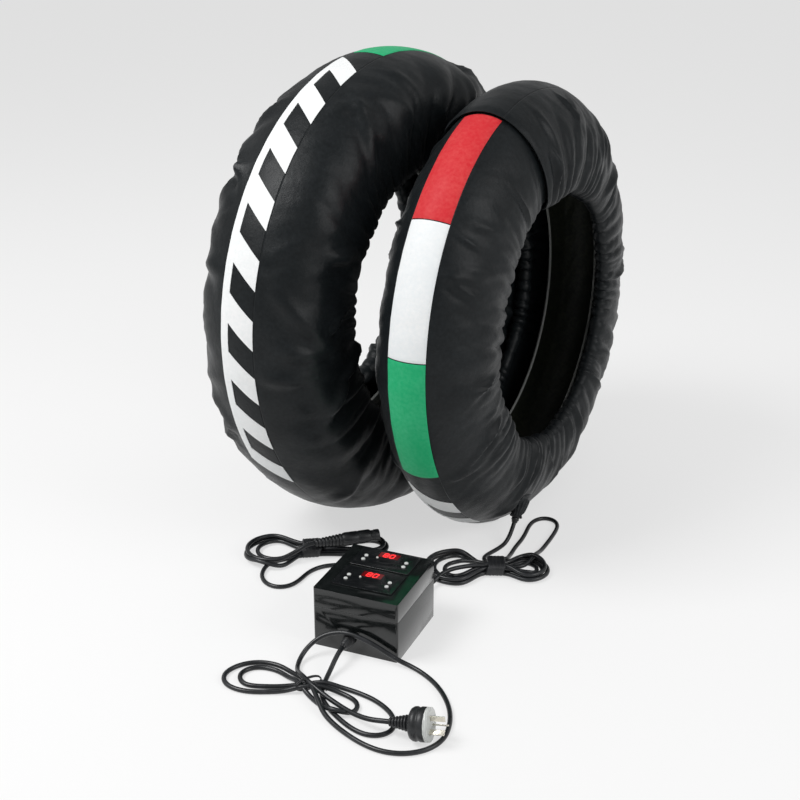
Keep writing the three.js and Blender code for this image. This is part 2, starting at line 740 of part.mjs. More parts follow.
function cordTube(route) {
  const curve = new THREE.CatmullRomCurve3(route.map((point) => new THREE.Vector3(...point)), false, 'catmullrom', 0.5);
  const round = new THREE.EllipseCurve(0, 0, cordDiameter / 2, cordDiameter / 2);
  const section = new THREE.Shape(round.getPoints(cordSides).slice(1));
  return new THREE.ExtrudeGeometry(section, { steps: route.length - 1, bevelEnabled: false, extrudePath: curve });
}

const cordRubber = plastic(colours.rubber, 0.45);
addMesh('mains_cord', cordTube(mainsRoute), cordRubber);
addMesh('front_lead_tail', cordTube(frontTailRoute), cordRubber);
addMesh('front_lead_loop', cordTube(frontLoopRoute), cordRubber);
addMesh('front_lead_feed', cordTube(frontFeedRoute), cordRubber);
addMesh('rear_lead_feed', cordTube(rearFeedRoute), cordRubber);

// Outline of a folded lead: two lobes with a straight waist where the tie holds it
function hankShape({ length, lobes, waist, tieAt }) {
  const [left, right] = lobes;
  const [xl, xr] = [-length / 2 + left, length / 2 - right];
  const [wl, wr] = [tieAt - tieWidth / 2 - waistBeyondTie, tieAt + tieWidth / 2 + waistBeyondTie];
  const leave = radians(75);
  const shape = new THREE.Shape();
  shape.absarc(xl, 0, left, leave, 2 * Math.PI - leave);
  shape.bezierCurveTo(xl + left * 0.7, -left * 0.85, wl - 10, -waist, wl, -waist);
  shape.lineTo(wr, -waist);
  shape.bezierCurveTo(wr + 6, -waist, xr - right * 0.6, -right * 0.95, xr - right * Math.cos(leave), -right * Math.sin(leave));
  shape.absarc(xr, 0, right, leave - Math.PI, Math.PI - leave);
  shape.bezierCurveTo(xr - right * 0.6, right * 0.95, wr + 6, waist, wr, waist);
  shape.lineTo(wl, waist);
  shape.bezierCurveTo(wl - 10, waist, xl + left * 0.7, left * 0.85, xl + left * Math.cos(leave), left * Math.sin(leave));
  return shape;
}

function makeHankTie({ waist, height, tieAt }) {
  const [w, h] = [2 * (waist + clearance), height + 2 * clearance];
  const middle = [tieAt, 0, hankLift + height / 2];
  const outer = boxAt([tieWidth, w + 2 * tieThickness, h + 2 * tieThickness], middle);
  return cut(outer, boxAt([2 * tieWidth, w, h], middle));
}

function addHank(hank) {
  const group = new THREE.Group();
  group.position.set(...hank.centre, 0);
  group.rotation.z = radians(hank.turned);
  set.add(group);
  const body = new THREE.ExtrudeGeometry(hankShape(hank), { depth: hank.height, bevelEnabled: false, curveSegments: 8 });
  addMesh(`${hank.name}_hank`, body.translate(0, 0, hankLift), cordRubber, group);
  addMesh(`${hank.name}_tie`, makeHankTie(hank), plastic(colours.rubber, 0.7), group);
}

[frontHank, rearHank].forEach(addHank);

// Connector on the rear lead: ribbed strain relief, round body and a collar at its mouth
function ribs(start, end, low, high, count) {
  const step = (end - start) / count;
  return Array.from({ length: count }, (_, i) => {
    const valley = low + (high - low) * i / (count - 1);
    const crest = valley + ribHeight;
    return [[valley, 0], [crest, 0.3], [crest, 0.7], [valley, 0.95]].map(([radius, share]) => [radius, start + (i + share) * step]);
  }).flat();
}

function makeConnector() {
  const body = connectorRadius;
  return turned([
    [0, 0], ...ribs(0, connectorRelief, 4.5, 7, 3), [body - 1, connectorRelief], [body, connectorRelief + 4],
    [body, connectorRelief + connectorBody - 14], [body - 2, connectorRelief + connectorBody - 12],
    [body - 2, connectorRelief + connectorBody], [0, connectorRelief + connectorBody],
  ], 10);
}

const connectorHeight = hankLift + rearHank.height + clearance + connectorRadius;
const connectorHeading = [Math.cos(radians(connectorTurned)), Math.sin(radians(connectorTurned)), 0];
const connectorStart = connectorPlace.map((value, i) => value - connectorHeading[i] * (connectorRelief + connectorBody) / 2);
const connector = pointed(makeConnector(), [...connectorStart, connectorHeight], connectorHeading);
addMesh('rear_lead_connector', connector, plastic(colours.rubber, 0.55));

// Plug, along +X in its own frame, with the middle of its body at the origin

const plugGroup = new THREE.Group();
plugGroup.position.set(...plugPlace);
plugGroup.rotation.set(0, -radians(plugTilt), radians(plugTurned), 'ZYX');
set.add(plugGroup);

const bodyFront = plugBodyLength / 2;
const discFront = bodyFront + clearance + plugDiscThickness;

function makePlugBody() {
  const back = -bodyFront;
  const profile = [
    [0, back - plugReliefLength], ...ribs(back - plugReliefLength, back - 3, plugReliefTip, 7.5, 3), [9, back - 2],
    [plugRadius - 2, back], [plugRadius, back + 3], [plugRadius, bodyFront], [0, bodyFront],
  ];
  return pointed(turned(profile, 16), [0, 0, 0], [1, 0, 0]);
}

function pinSlots(gap) {
  const [thickness, width] = pinSize;
  return [0, 1, 2].map((i) => {
    const angle = radians(90 + i * pinSpread);
    const slot = boxAt([2 * plugDiscThickness, width + 2 * gap, thickness + 2 * gap], [0, 0, 0]);
    const [y, z] = [pinCircle * Math.cos(angle), pinCircle * Math.sin(angle)];
    return slot.rotateX(angle).translate(bodyFront + plugDiscThickness / 2, y, z);
  });
}

function makePlugDisc() {
  const disc = turned([[0, 0], [plugDiscRadius, 0], [plugDiscRadius, plugDiscThickness - 1],
    [plugDiscRadius - 1, plugDiscThickness], [0, plugDiscThickness]], 16);
  return cut(pointed(disc, [bodyFront + clearance, 0, 0], [1, 0, 0]), ...pinSlots(clearance));
}

function makePin(index) {
  const [thickness, width] = pinSize;
  const angle = radians(90 + index * pinSpread);
  const start = bodyFront + clearance;
  const length = discFront + pinLength - start;
  return boxAt([length, width, thickness], [start + length / 2, 0, 0]).rotateX(angle)
    .translate(0, pinCircle * Math.cos(angle), pinCircle * Math.sin(angle));
}

addMesh('plug_body', makePlugBody(), plastic(colours.rubber, 0.4), plugGroup);
addMesh('plug_disc', makePlugDisc(), plastic(colours.disc, 0.2), plugGroup);
['live', 'neutral', 'earth'].forEach((name, index) => {
  addMesh(`plug_pin_${name}`, makePin(index), metal(colours.metal), plugGroup);
});

// Boot of the front lead, standing on the cable tab of the front sleeve

function makeBoot() {
  const seat = coverPoint(frontSleeve, frontSleeve.tabStep + 0.5, bootAt, 0);
  const boot = pointed(turned([
    [0, 0], [bootRadius, 0], ...ribs(7, bootLength - 4, bootRadius, bootTip, 3), [bootTip, bootLength], [0, bootLength],
  ], 10), [seat.x, seat.y, seat.z], bootDirection);
  return cut(boot, makeShoulderBlock());
}

// The space taken by the cover and the tab, which the boot keeps out of
function makeShoulderBlock() {
  const rows = [bandDegrees(frontSleeve), 46, 25, 5];
  const place = (c, r, lift) => coverPoint(frontSleeve, frontSleeve.tabStep - 2 + c, rows[r], lift);
  return cellSheet(5, rows.length - 1, () => true, place, -bootBlockDepth, tabThickness + 2 * clearance);
}

addMesh('front_lead_boot', makeBoot(), plastic(colours.rubber, 0.6), frontGroup);

export default set;
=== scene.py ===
"""Motorcycle tyre warmer set: two gathered heated sleeves, a control box with two controllers, its mains cord
with a moulded plug, and two folded output leads. Lengths are in metres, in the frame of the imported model."""

import bmesh
import bpy
import numpy as np
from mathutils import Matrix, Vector


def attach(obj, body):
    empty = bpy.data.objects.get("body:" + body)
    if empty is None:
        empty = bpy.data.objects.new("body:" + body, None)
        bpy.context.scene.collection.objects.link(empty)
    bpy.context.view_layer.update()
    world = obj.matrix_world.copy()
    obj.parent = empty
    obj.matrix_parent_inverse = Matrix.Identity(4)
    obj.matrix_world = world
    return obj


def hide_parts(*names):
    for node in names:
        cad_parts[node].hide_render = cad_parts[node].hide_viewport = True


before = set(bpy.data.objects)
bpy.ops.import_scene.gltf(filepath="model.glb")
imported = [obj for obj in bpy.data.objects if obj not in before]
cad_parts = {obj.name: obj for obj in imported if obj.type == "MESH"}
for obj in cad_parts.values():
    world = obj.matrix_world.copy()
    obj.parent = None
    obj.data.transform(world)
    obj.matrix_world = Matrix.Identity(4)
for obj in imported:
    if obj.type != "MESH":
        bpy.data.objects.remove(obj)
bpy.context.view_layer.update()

MM = 0.001
CORD_RADIUS = 0.003


# Camera, floor and light

def make_camera():
    lens = bpy.data.cameras.new("camera")
    lens.lens = 63.67
    lens.sensor_width = 36
    lens.shift_y = -0.00425
    camera = bpy.data.objects.new("camera", lens)
    camera.location = (0.797, -1.734, 0.954)
    camera.rotation_euler = np.radians((67.63, 0, 29.4))
    bpy.context.scene.collection.objects.link(camera)
    bpy.context.scene.camera = camera


def make_floor():
    """A flat sheet, pale to the camera and in reflections, that still takes soft shadows."""
    size = 12
    mesh = bpy.data.meshes.new("floor")
    corners = [(-size, -size, 0), (size, -size, 0), (size, size, 0), (-size, size, 0)]
    mesh.from_pydata(corners, [], [(0, 1, 2, 3)])
    floor = bpy.data.objects.new("floor", mesh)
    bpy.context.collection.objects.link(floor)
    material = bpy.data.materials.new("floor")
    material.use_nodes = True
    tree = material.node_tree
    tree.nodes.clear()
    matte = tree.nodes.new("ShaderNodeBsdfDiffuse")
    matte.inputs["Color"].default_value = (0.86, 0.86, 0.86, 1)
    glow = tree.nodes.new("ShaderNodeEmission")
    glow.inputs["Color"].default_value = (1, 1, 1, 1)
    mix = tree.nodes.new("ShaderNodeMixShader")
    out = tree.nodes.new("ShaderNodeOutputMaterial")
    tree.links.new(pale_share(tree, 0.6), mix.inputs["Fac"])
    tree.links.new(matte.outputs[0], mix.inputs[1])
    tree.links.new(glow.outputs[0], mix.inputs[2])
    tree.links.new(mix.outputs[0], out.inputs["Surface"])
    mesh.materials.append(material)


def pale_share(tree, share, kinds=("Is Glossy Ray", "Is Transmission Ray")):
    """`share` for camera rays and the other kinds named, and 0 for the rest."""
    path = tree.nodes.new("ShaderNodeLightPath")
    total = path.outputs["Is Camera Ray"]
    for kind in kinds:
        add = tree.nodes.new("ShaderNodeMath")
        add.operation = "MAXIMUM"
        tree.links.new(total, add.inputs[0])
        tree.links.new(path.outputs[kind], add.inputs[1])
        total = add.outputs[0]
    scale = tree.nodes.new("ShaderNodeMath")
    scale.operation = "MULTIPLY"
    scale.inputs[1].default_value = share
    tree.links.new(total, scale.inputs[0])
    return scale.outputs[0]


def make_world():
    world = bpy.data.worlds.new("studio")
    world.use_nodes = True
    bpy.context.scene.world = world
    tree = world.node_tree
    tree.nodes.clear()
    light = tree.nodes.new("ShaderNodeBackground")
    light.inputs["Strength"].default_value = 0.5
    white = tree.nodes.new("ShaderNodeBackground")
    white.inputs["Strength"].default_value = 1.0
    mix = tree.nodes.new("ShaderNodeMixShader")
    out = tree.nodes.new("ShaderNodeOutputWorld")
    tree.links.new(pale_share(tree, 1.0, ("Is Transmission Ray",)), mix.inputs["Fac"])
    tree.links.new(light.outputs[0], mix.inputs[1])
    tree.links.new(white.outputs[0], mix.inputs[2])
    tree.links.new(mix.outputs[0], out.inputs["Surface"])


def make_lamp(name, place, target, size, watts):
    lamp = bpy.data.lights.new(name, "AREA")
    lamp.size = size
    lamp.energy = watts
    light = bpy.data.objects.new(name, lamp)
    bpy.context.scene.collection.objects.link(light)
    light.location = place
    light.rotation_euler = (Vector(target) - Vector(place)).to_track_quat("-Z", "Y").to_euler()


def make_lights():
    make_world()
    make_lamp("key_light", (-1.2, -1.4, 2.3), (-0.05, -0.1, 0.3), 1.3, 52)
    make_lamp("side_light", (2.0, -0.2, 1.4), (0, -0.1, 0.3), 1.2, 16)
    bpy.context.scene.view_settings.view_transform = "Standard"


make_camera()
make_floor()
make_lights()


# Numbers and curves

def smoothstep(x, low, high):
    t = np.clip((x - low) / (high - low), 0, 1)
    return t * t * (3 - 2 * t)


def hill(x, middle, reach):
    """1 at the middle, falling smoothly to 0 from `reach` away."""
    return 1 - smoothstep(np.abs(x - middle), 0, reach)


def wander(angle, seed, low=2, high=9):
    """Slow wave round a circle, about -1 to 1: the sum of sines of whole orders with seeded phases."""
    phases = np.random.default_rng(seed).uniform(0, 2 * np.pi, high - low + 1)
    waves = [np.sin(order * angle + phase) for order, phase in zip(range(low, high + 1), phases)]
    return sum(waves) / np.sqrt(len(waves))


def smooth_route(points, per_span=6):
    """Catmull-Rom curve through the points, with each end carried on in a straight line."""
    p = np.array(points, float)
    p = np.vstack([2 * p[0] - p[1], p, 2 * p[-1] - p[-2]])
    t = np.arange(per_span)[:, None] / per_span
    a, b, c, d = (p[i:len(p) - 3 + i, None] for i in range(4))
    square, cube = 2 * a - 5 * b + 4 * c - d, 3 * b - a - 3 * c + d
    spans = 0.5 * (2 * b + (c - a) * t + square * t ** 2 + cube * t ** 3)
    return np.vstack([spans.reshape(-1, p.shape[1]), p[-2]])


def cord_curve(points, ease=0.008, step=0.003):
    """Smooth route through the points, evenly spaced, with its turns eased in plan by a running mean that is
    weighted by a bell curve. Its ends stay where they are."""
    rough = smooth_route(points)
    run = np.concatenate([[0], np.cumsum(np.linalg.norm(np.diff(rough, axis=0), axis=1))])
    even = np.linspace(0, run[-1], int(run[-1] / step) + 1)
    path = np.stack([np.interp(even, run, rough[:, axis]) for axis in range(3)], 1)
    reach = int(3 * ease / step)
    weights = np.exp(-0.5 * (np.arange(-reach, reach + 1) * step / ease) ** 2)
    before = 2 * path[0] - path[reach:0:-1]
    after = 2 * path[-1] - path[-2:-reach - 2:-1]
    long = np.vstack([before, path, after])
    for axis in (0, 1):
        path[:, axis] = np.convolve(long[:, axis], weights / weights.sum(), "valid")
    return path


def turned(points, degrees, place):
    """Points in millimetres of a local frame, turned about Z, moved to their place and given in metres."""
    angle = np.radians(degrees)
    p = np.asarray(points, float)
    x = p[..., 0] * np.cos(angle) - p[..., 1] * np.sin(angle) + place[0]
    y = p[..., 0] * np.sin(angle) + p[..., 1] * np.cos(angle) + place[1]
    z = p[..., 2] + (place[2] if len(place) > 2 else 0)
    return np.stack([x, y, z], -1) * MM


# Meshes from arrays

def make_piece(name, points, faces, lay=None, sharp=50):
    """Mesh from arrays, with doubled points merged, faces outwards and edges over `sharp` degrees kept."""
    mesh = bpy.data.meshes.new(name)
    mesh.from_pydata(points.reshape(-1, 3).tolist(), [], faces.tolist())
    if lay is not None:
        corners = np.empty(len(mesh.loops), int)
        mesh.loops.foreach_get("vertex_index", corners)
        layer = mesh.uv_layers.new(name="lay")
        layer.data.foreach_set("uv", lay.reshape(-1, 2)[corners].ravel())
    shape = bmesh.new()
    shape.from_mesh(mesh)
    bmesh.ops.remove_doubles(shape, verts=shape.verts, dist=1e-7)
    bmesh.ops.recalc_face_normals(shape, faces=shape.faces)
    shape.to_mesh(mesh)
    shape.free()
    mesh.shade_smooth()
    mesh.set_sharp_from_angle(angle=np.radians(sharp))
    piece = bpy.data.objects.new(name, mesh)
    bpy.context.collection.objects.link(piece)
    return piece


def shell(name, outer, inner, lay=None, present=None, wrap=False, sharp=50):
    """Closed body between two grids of points: both skins of the cells that are present, and a wall on each
    side of a cell that has no neighbour. `wrap` joins the last row of points to the first."""
    rows, columns = outer.shape[:2]
    present = np.ones((rows - (not wrap), columns - 1), bool) if present is None else present
    index = np.arange(rows * columns).reshape(rows, columns)
    i, j = np.nonzero(present)
    below = (i + 1) % rows
    corners = np.stack([index[i, j], index[below, j], index[below, j + 1], index[i, j + 1]])
    under = corners + rows * columns
    around = np.zeros((present.shape[0] + 2, present.shape[1] + 2), bool)
    around[1:-1, 1:-1] = present
    if wrap:
        around[0, 1:-1], around[-1, 1:-1] = present[-1], present[0]
    faces = [corners.T, under[::-1].T]
    for side, (di, dj) in enumerate(((0, -1), (1, 0), (0, 1), (-1, 0))):
        open_side = ~around[i + 1 + di, j + 1 + dj]
        a, b = side, (side + 1) % 4
        faces.append(np.stack([corners[b], corners[a], under[a], under[b]])[:, open_side].T)
    points = np.concatenate([outer.reshape(-1, 3), inner.reshape(-1, 3)])
    used, faces = np.unique(np.concatenate(faces), return_inverse=True)
    lay = None if lay is None else np.concatenate([lay.reshape(-1, 2)] * 2)[used]
    return make_piece(name, points[used], faces.reshape(-1, 4), lay, sharp)


def loft(name, rings, lay=None, wrap=False, sharp=50):
    """Rings of points joined in order. The ends are drawn in to their middles, or joined to each other."""
    if not wrap:
        ends = [np.broadcast_to(ring.mean(0), ring.shape) for ring in (rings[0], rings[-1])]
        rings = np.concatenate([ends[:1], rings, ends[1:]])
        if lay is not None:
            lay = np.concatenate([lay[:1], lay, lay[-1:]])
    count, sides = rings.shape[:2]
    i, j = np.mgrid[0:count - (not wrap), 0:sides].reshape(2, -1)
    i2, j2 = (i + 1) % count, (j + 1) % sides
    faces = np.stack([i * sides + j, i2 * sides + j, i2 * sides + j2, i * sides + j2], 1)
    return make_piece(name, rings, faces, lay, sharp)


def ring_frames(path, closed, reference):
    """Unit vectors square to the path: one square to the reference too, one as near to it as can be."""
    along = np.roll(path, -1, 0) - np.roll(path, 1, 0) if closed else np.gradient(path, axis=0)
    along /= np.linalg.norm(along, axis=1, keepdims=True)
    level = np.cross(along, reference)
    level /= np.linalg.norm(level, axis=1, keepdims=True)
    return level, np.cross(level, along)


def tube(name, path, radius, sides=12, closed=False, reference=(0, 0, 1)):
    """Circles of the given radius carried along a path that is never parallel to the reference."""
    level, upright = ring_frames(path, closed, reference)
    turn = np.linspace(0, 2 * np.pi, sides, endpoint=False)[None, :, None]
    radius = np.broadcast_to(np.asarray(radius, float), len(path))[:, None, None]
    rings = path[:, None] + radius * (np.cos(turn) * level[:, None] + np.sin(turn) * upright[:, None])
    steps = np.linalg.norm(np.diff(path, axis=0), axis=1)
    run = np.concatenate([[0], np.cumsum(steps)])
    lay = np.stack(np.broadcast_arrays(turn[:, :, 0] * 0.001, run[:, None]), -1)
    return loft(name, rings, lay, closed)


def lathe(name, profile, start, direction, sides=32, flutes=None, sharp=40):
    """Profile of (radius, distance along the axis) in millimetres, turned round an axis from a start."""
    axis = np.array(direction, float) / np.linalg.norm(direction)
    level = np.cross(axis, (0, 0, 1)) if abs(axis[2]) < 0.95 else np.array([1.0, 0, 0])
    level /= np.linalg.norm(level)
    upright = np.cross(level, axis)
    p = np.array(profile, float)
    turn = np.linspace(0, 2 * np.pi, sides, endpoint=False)[None, :, None]
    radius = p[:, 0, None, None]
    if flutes:
        count, depth = flutes
        radius = radius * (1 - depth * (0.5 + 0.5 * np.cos(count * turn)))
    rings = radius * (np.cos(turn) * level + np.sin(turn) * upright) + p[:, 1, None, None] * axis
    return loft(name, np.asarray(start, float) + rings * MM, None, False, sharp)


# Materials

def new_material(name, colour, roughness, **sockets):
    """Principled material. `sockets` are set on the shader itself, with _ for a space."""
    material = bpy.data.materials.new(name)
    material.use_nodes = True
    shader = material.node_tree.nodes["Principled BSDF"]
    shader.inputs["Base Color"].default_value = (*colour, 1)
    shader.inputs["Roughness"].default_value = roughness
    for key, value in sockets.items():
        shader.inputs[key.replace("_", " ")].default_value = value
    return material


def coordinates(tree, kind="Object", stretch=(1, 1, 1)):
    source = tree.nodes.new("ShaderNodeTexCoord")
    mapping = tree.nodes.new("ShaderNodeMapping")
    mapping.inputs["Scale"].default_value = stretch
    tree.links.new(source.outputs[kind], mapping.inputs["Vector"])
    return mapping.outputs[0]


def noise(tree, where, scale, detail=3, roughness=0.5):
    node = tree.nodes.new("ShaderNodeTexNoise")
    node.inputs["Scale"].default_value = scale
    node.inputs["Detail"].default_value = detail
    node.inputs["Roughness"].default_value = roughness
    tree.links.new(where, node.inputs["Vector"])
    return node.outputs["Fac"]


def threads(tree, where, spacing, direction):
    """Rounded ridges `spacing` apart across X or Y."""
    node = tree.nodes.new("ShaderNodeTexWave")
    node.bands_direction = direction
    node.inputs["Scale"].default_value = 0.314 / spacing
    node.inputs["Distortion"].default_value = 0.4
    tree.links.new(where, node.inputs["Vector"])
    return node.outputs["Fac"]


def between(tree, value, low, high, out_low=0.0, out_high=1.0):
    node = tree.nodes.new("ShaderNodeMapRange")
    for key, number in (("From Min", low), ("From Max", high), ("To Min", out_low), ("To Max", out_high)):
        node.inputs[key].default_value = number
    tree.links.new(value, node.inputs["Value"])
    return node.outputs[0]


def combine(tree, operation, *values):
    node = tree.nodes.new("ShaderNodeMath")
    node.operation = operation
    for socket, value in zip(node.inputs, values):
        if isinstance(value, (int, float)):
            socket.default_value = value
        else:
            tree.links.new(value, socket)
    return node.outputs[0]


def colour_between(tree, value, first, second):
    node = tree.nodes.new("ShaderNodeMix")
    node.data_type = "RGBA"
    node.inputs["A"].default_value = (*first, 1)
    node.inputs["B"].default_value = (*second, 1)
    tree.links.new(value, node.inputs["Factor"])
    return node.outputs["Result"]


def relief(tree, height, distance, strength=1.0, under=None):
    """Bump from a height, over another bump if one is given."""
    node = tree.nodes.new("ShaderNodeBump")
    node.inputs["Distance"].default_value = distance
    node.inputs["Strength"].default_value = strength
    tree.links.new(height, node.inputs["Height"])
    if under is not None:
        tree.links.new(under, node.inputs["Normal"])
    return node.outputs[0]


def feed(material, **sockets):
    shader = material.node_tree.nodes["Principled BSDF"]
    for key, value in sockets.items():
        material.node_tree.links.new(value, shader.inputs[key.replace("_", " ")])
    return material


def stitched_line(tree, across, place, half_width):
    """1 on a line at a distance across the cloth, on both sides of its middle, falling to 0 beside it."""
    away = combine(tree, "ABSOLUTE", combine(tree, "SUBTRACT", combine(tree, "ABSOLUTE", across), place))
    return between(tree, away, 0, half_width, 1, 0)


def woven_nylon(name, colour, pale, roughness, seams=(), sheen=0.03):
    """Coated nylon: fine square weave, soft creasing, faint dust, and pressed seams along the cloth."""
    material = new_material(
        name, colour, roughness, Sheen_Weight=sheen, Sheen_Roughness=0.35, Specular_IOR_Level=0.2)
    tree = material.node_tree
    lay = coordinates(tree, "UV")
    place = coordinates(tree)
    weave = combine(tree, "ADD", threads(tree, lay, 0.0009, "X"), threads(tree, lay, 0.0009, "Y"))
    normal = relief(tree, weave, 0.00006, 0.5)
    normal = relief(tree, noise(tree, place, 95, 5, 0.6), 0.0011, 0.55, normal)
    for place_across, width in seams:
        split = tree.nodes.new("ShaderNodeSeparateXYZ")
        tree.links.new(lay, split.inputs[0])
        line = stitched_line(tree, split.outputs["Y"], place_across, width)
        normal = relief(tree, line, -0.0012, 0.8, normal)
    worn = combine(tree, "MULTIPLY", noise(tree, place, 14, 4), noise(tree, place, 210, 3))
    tint = colour_between(tree, between(tree, worn, 0.16, 0.42), colour, pale)
    rough = between(tree, noise(tree, place, 30, 4), 0.3, 0.7, roughness - 0.07, roughness + 0.08)
    return feed(material, Base_Color=tint, Roughness=rough, Normal=normal)


def moulded(name, colour, pale, roughness, grain=0.00006, **sockets):
    """Moulded plastic or rubber: fine grain, faint smears in the gloss and a little dust."""
    material = new_material(name, colour, roughness, **sockets)
    tree = material.node_tree
    place = coordinates(tree)
    normal = relief(tree, noise(tree, place, 900, 2), grain, 0.5)
    normal = relief(tree, noise(tree, place, 22, 2), 0.0004, 0.03, normal)
    smear = noise(tree, place, 60, 5, 0.65)
    tint = colour_between(tree, between(tree, smear, 0.45, 0.75), colour, pale)
    rough = between(tree, smear, 0.3, 0.75, roughness - 0.04, roughness + 0.12)
    return feed(material, Base_Color=tint, Roughness=rough, Normal=normal)


cover_seams = {"front": ((0.0275, 0.0012),), "rear": ((0.0255, 0.0012),)}
cover_black, cover_dust = (0.0055, 0.0072, 0.0082), (0.011, 0.0135, 0.015)
cover_cloth = {
    sleeve: woven_nylon(f"{sleeve}_cover_nylon", cover_black, cover_dust, 0.38, seams)
    for sleeve, seams in cover_seams.items()
}
tab_cloth = woven_nylon("tab_nylon", (0.012, 0.014, 0.016), (0.03, 0.033, 0.035), 0.5)
panel_cloth = {
    "red": woven_nylon("red_panel_cloth", (0.60, 0.022, 0.030), (0.66, 0.06, 0.06), 0.55, (), 0.05),
    "white": woven_nylon("white_panel_cloth", (0.80, 0.83, 0.84), (0.86, 0.87, 0.87), 0.55, (), 0.05),
    "green": woven_nylon("green_panel_cloth", (0.012, 0.39, 0.155), (0.04, 0.44, 0.2), 0.55, (), 0.05),
}
motif_cloth = woven_nylon("white_motif_print", (0.82, 0.84, 0.84), (0.88, 0.88, 0.88), 0.5, (), 0.03)
lining_cloth = woven_nylon("heat_proof_lining", (0.012, 0.0145, 0.0125), (0.03, 0.034, 0.022), 0.42, (), 0.12)
binding_cloth = woven_nylon("grey_binding", (0.22, 0.23, 0.22), (0.3, 0.3, 0.29), 0.6)
felt_cloth = woven_nylon("grey_felt", (0.22, 0.21, 0.19), (0.3, 0.29, 0.27), 0.9)
hook_tape = woven_nylon("hook_tape", (0.012, 0.012, 0.012), (0.03, 0.03, 0.03), 0.85)
elastic_cloth = woven_nylon("hem_elastic", (0.012, 0.013, 0.014), (0.028, 0.03, 0.03), 0.7)
element_tape = moulded("element_tape", (0.03, 0.03, 0.034), (0.08, 0.07, 0.06), 0.5)
case_plastic = moulded("glossy_case_plastic", (0.006, 0.0075, 0.0075), (0.012, 0.014, 0.014), 0.12, 0.00003,
                       Coat_Weight=0.3)
panel_plastic = moulded("satin_panel_plastic", (0.008, 0.009, 0.010), (0.016, 0.017, 0.018), 0.2, 0.00004)
cord_rubber = moulded("cord_sheath", (0.010, 0.0115, 0.013), (0.024, 0.026, 0.03), 0.3, 0.00005)
moulding_rubber = moulded("moulding_rubber", (0.011, 0.012, 0.0135), (0.025, 0.027, 0.03), 0.38, 0.00008)
tie_tape = moulded("tie_tape", (0.011, 0.012, 0.014), (0.03, 0.031, 0.034), 0.45, 0.0001)
button_plastic = moulded("pale_button_plastic", (0.68, 0.69, 0.68), (0.58, 0.59, 0.58), 0.18, 0.00002,
                         Coat_Weight=0.4)
lamp_plastic = moulded("pale_lamp_plastic", (0.72, 0.70, 0.66), (0.62, 0.60, 0.57), 0.15, 0.00002)
board_green = moulded("circuit_board_green", (0.015, 0.11, 0.05), (0.03, 0.16, 0.08), 0.4)
window_red = moulded("dark_red_window", (0.14, 0.006, 0.008), (0.20, 0.012, 0.014), 0.12, 0.00001)
digit_red = moulded("lit_red_digit", (0.8, 0.02, 0.03), (0.9, 0.05, 0.05), 0.3, 0.00001,
                    Emission_Color=(1.0, 0.03, 0.03, 1), Emission_Strength=1.6)
pin_metal = moulded("plated_pin", (0.74, 0.71, 0.62), (0.62, 0.59, 0.5), 0.22, 0.00003, Metallic=1.0)
clear_plastic = moulded("clear_disc", (0.86, 0.88, 0.86), (0.8, 0.82, 0.8), 0.12, 0.00002,
                        Transmission_Weight=0.45, IOR=1.46)


def dress(piece, material, slot, *replaced, body="root"):
    """Gives a new piece its material, the body it rides on and the nodes it stands for. `slot` is not used."""
    piece.data.materials.clear()
    piece.data.materials.append(material)
    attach(piece, body)
    if replaced:
        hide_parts(*replaced)
    return piece


def finish_node(name, material):
    """Gives a CAD node that stays in view its material."""
    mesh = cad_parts[name].data
    mesh.materials.clear()
    mesh.materials.append(material)
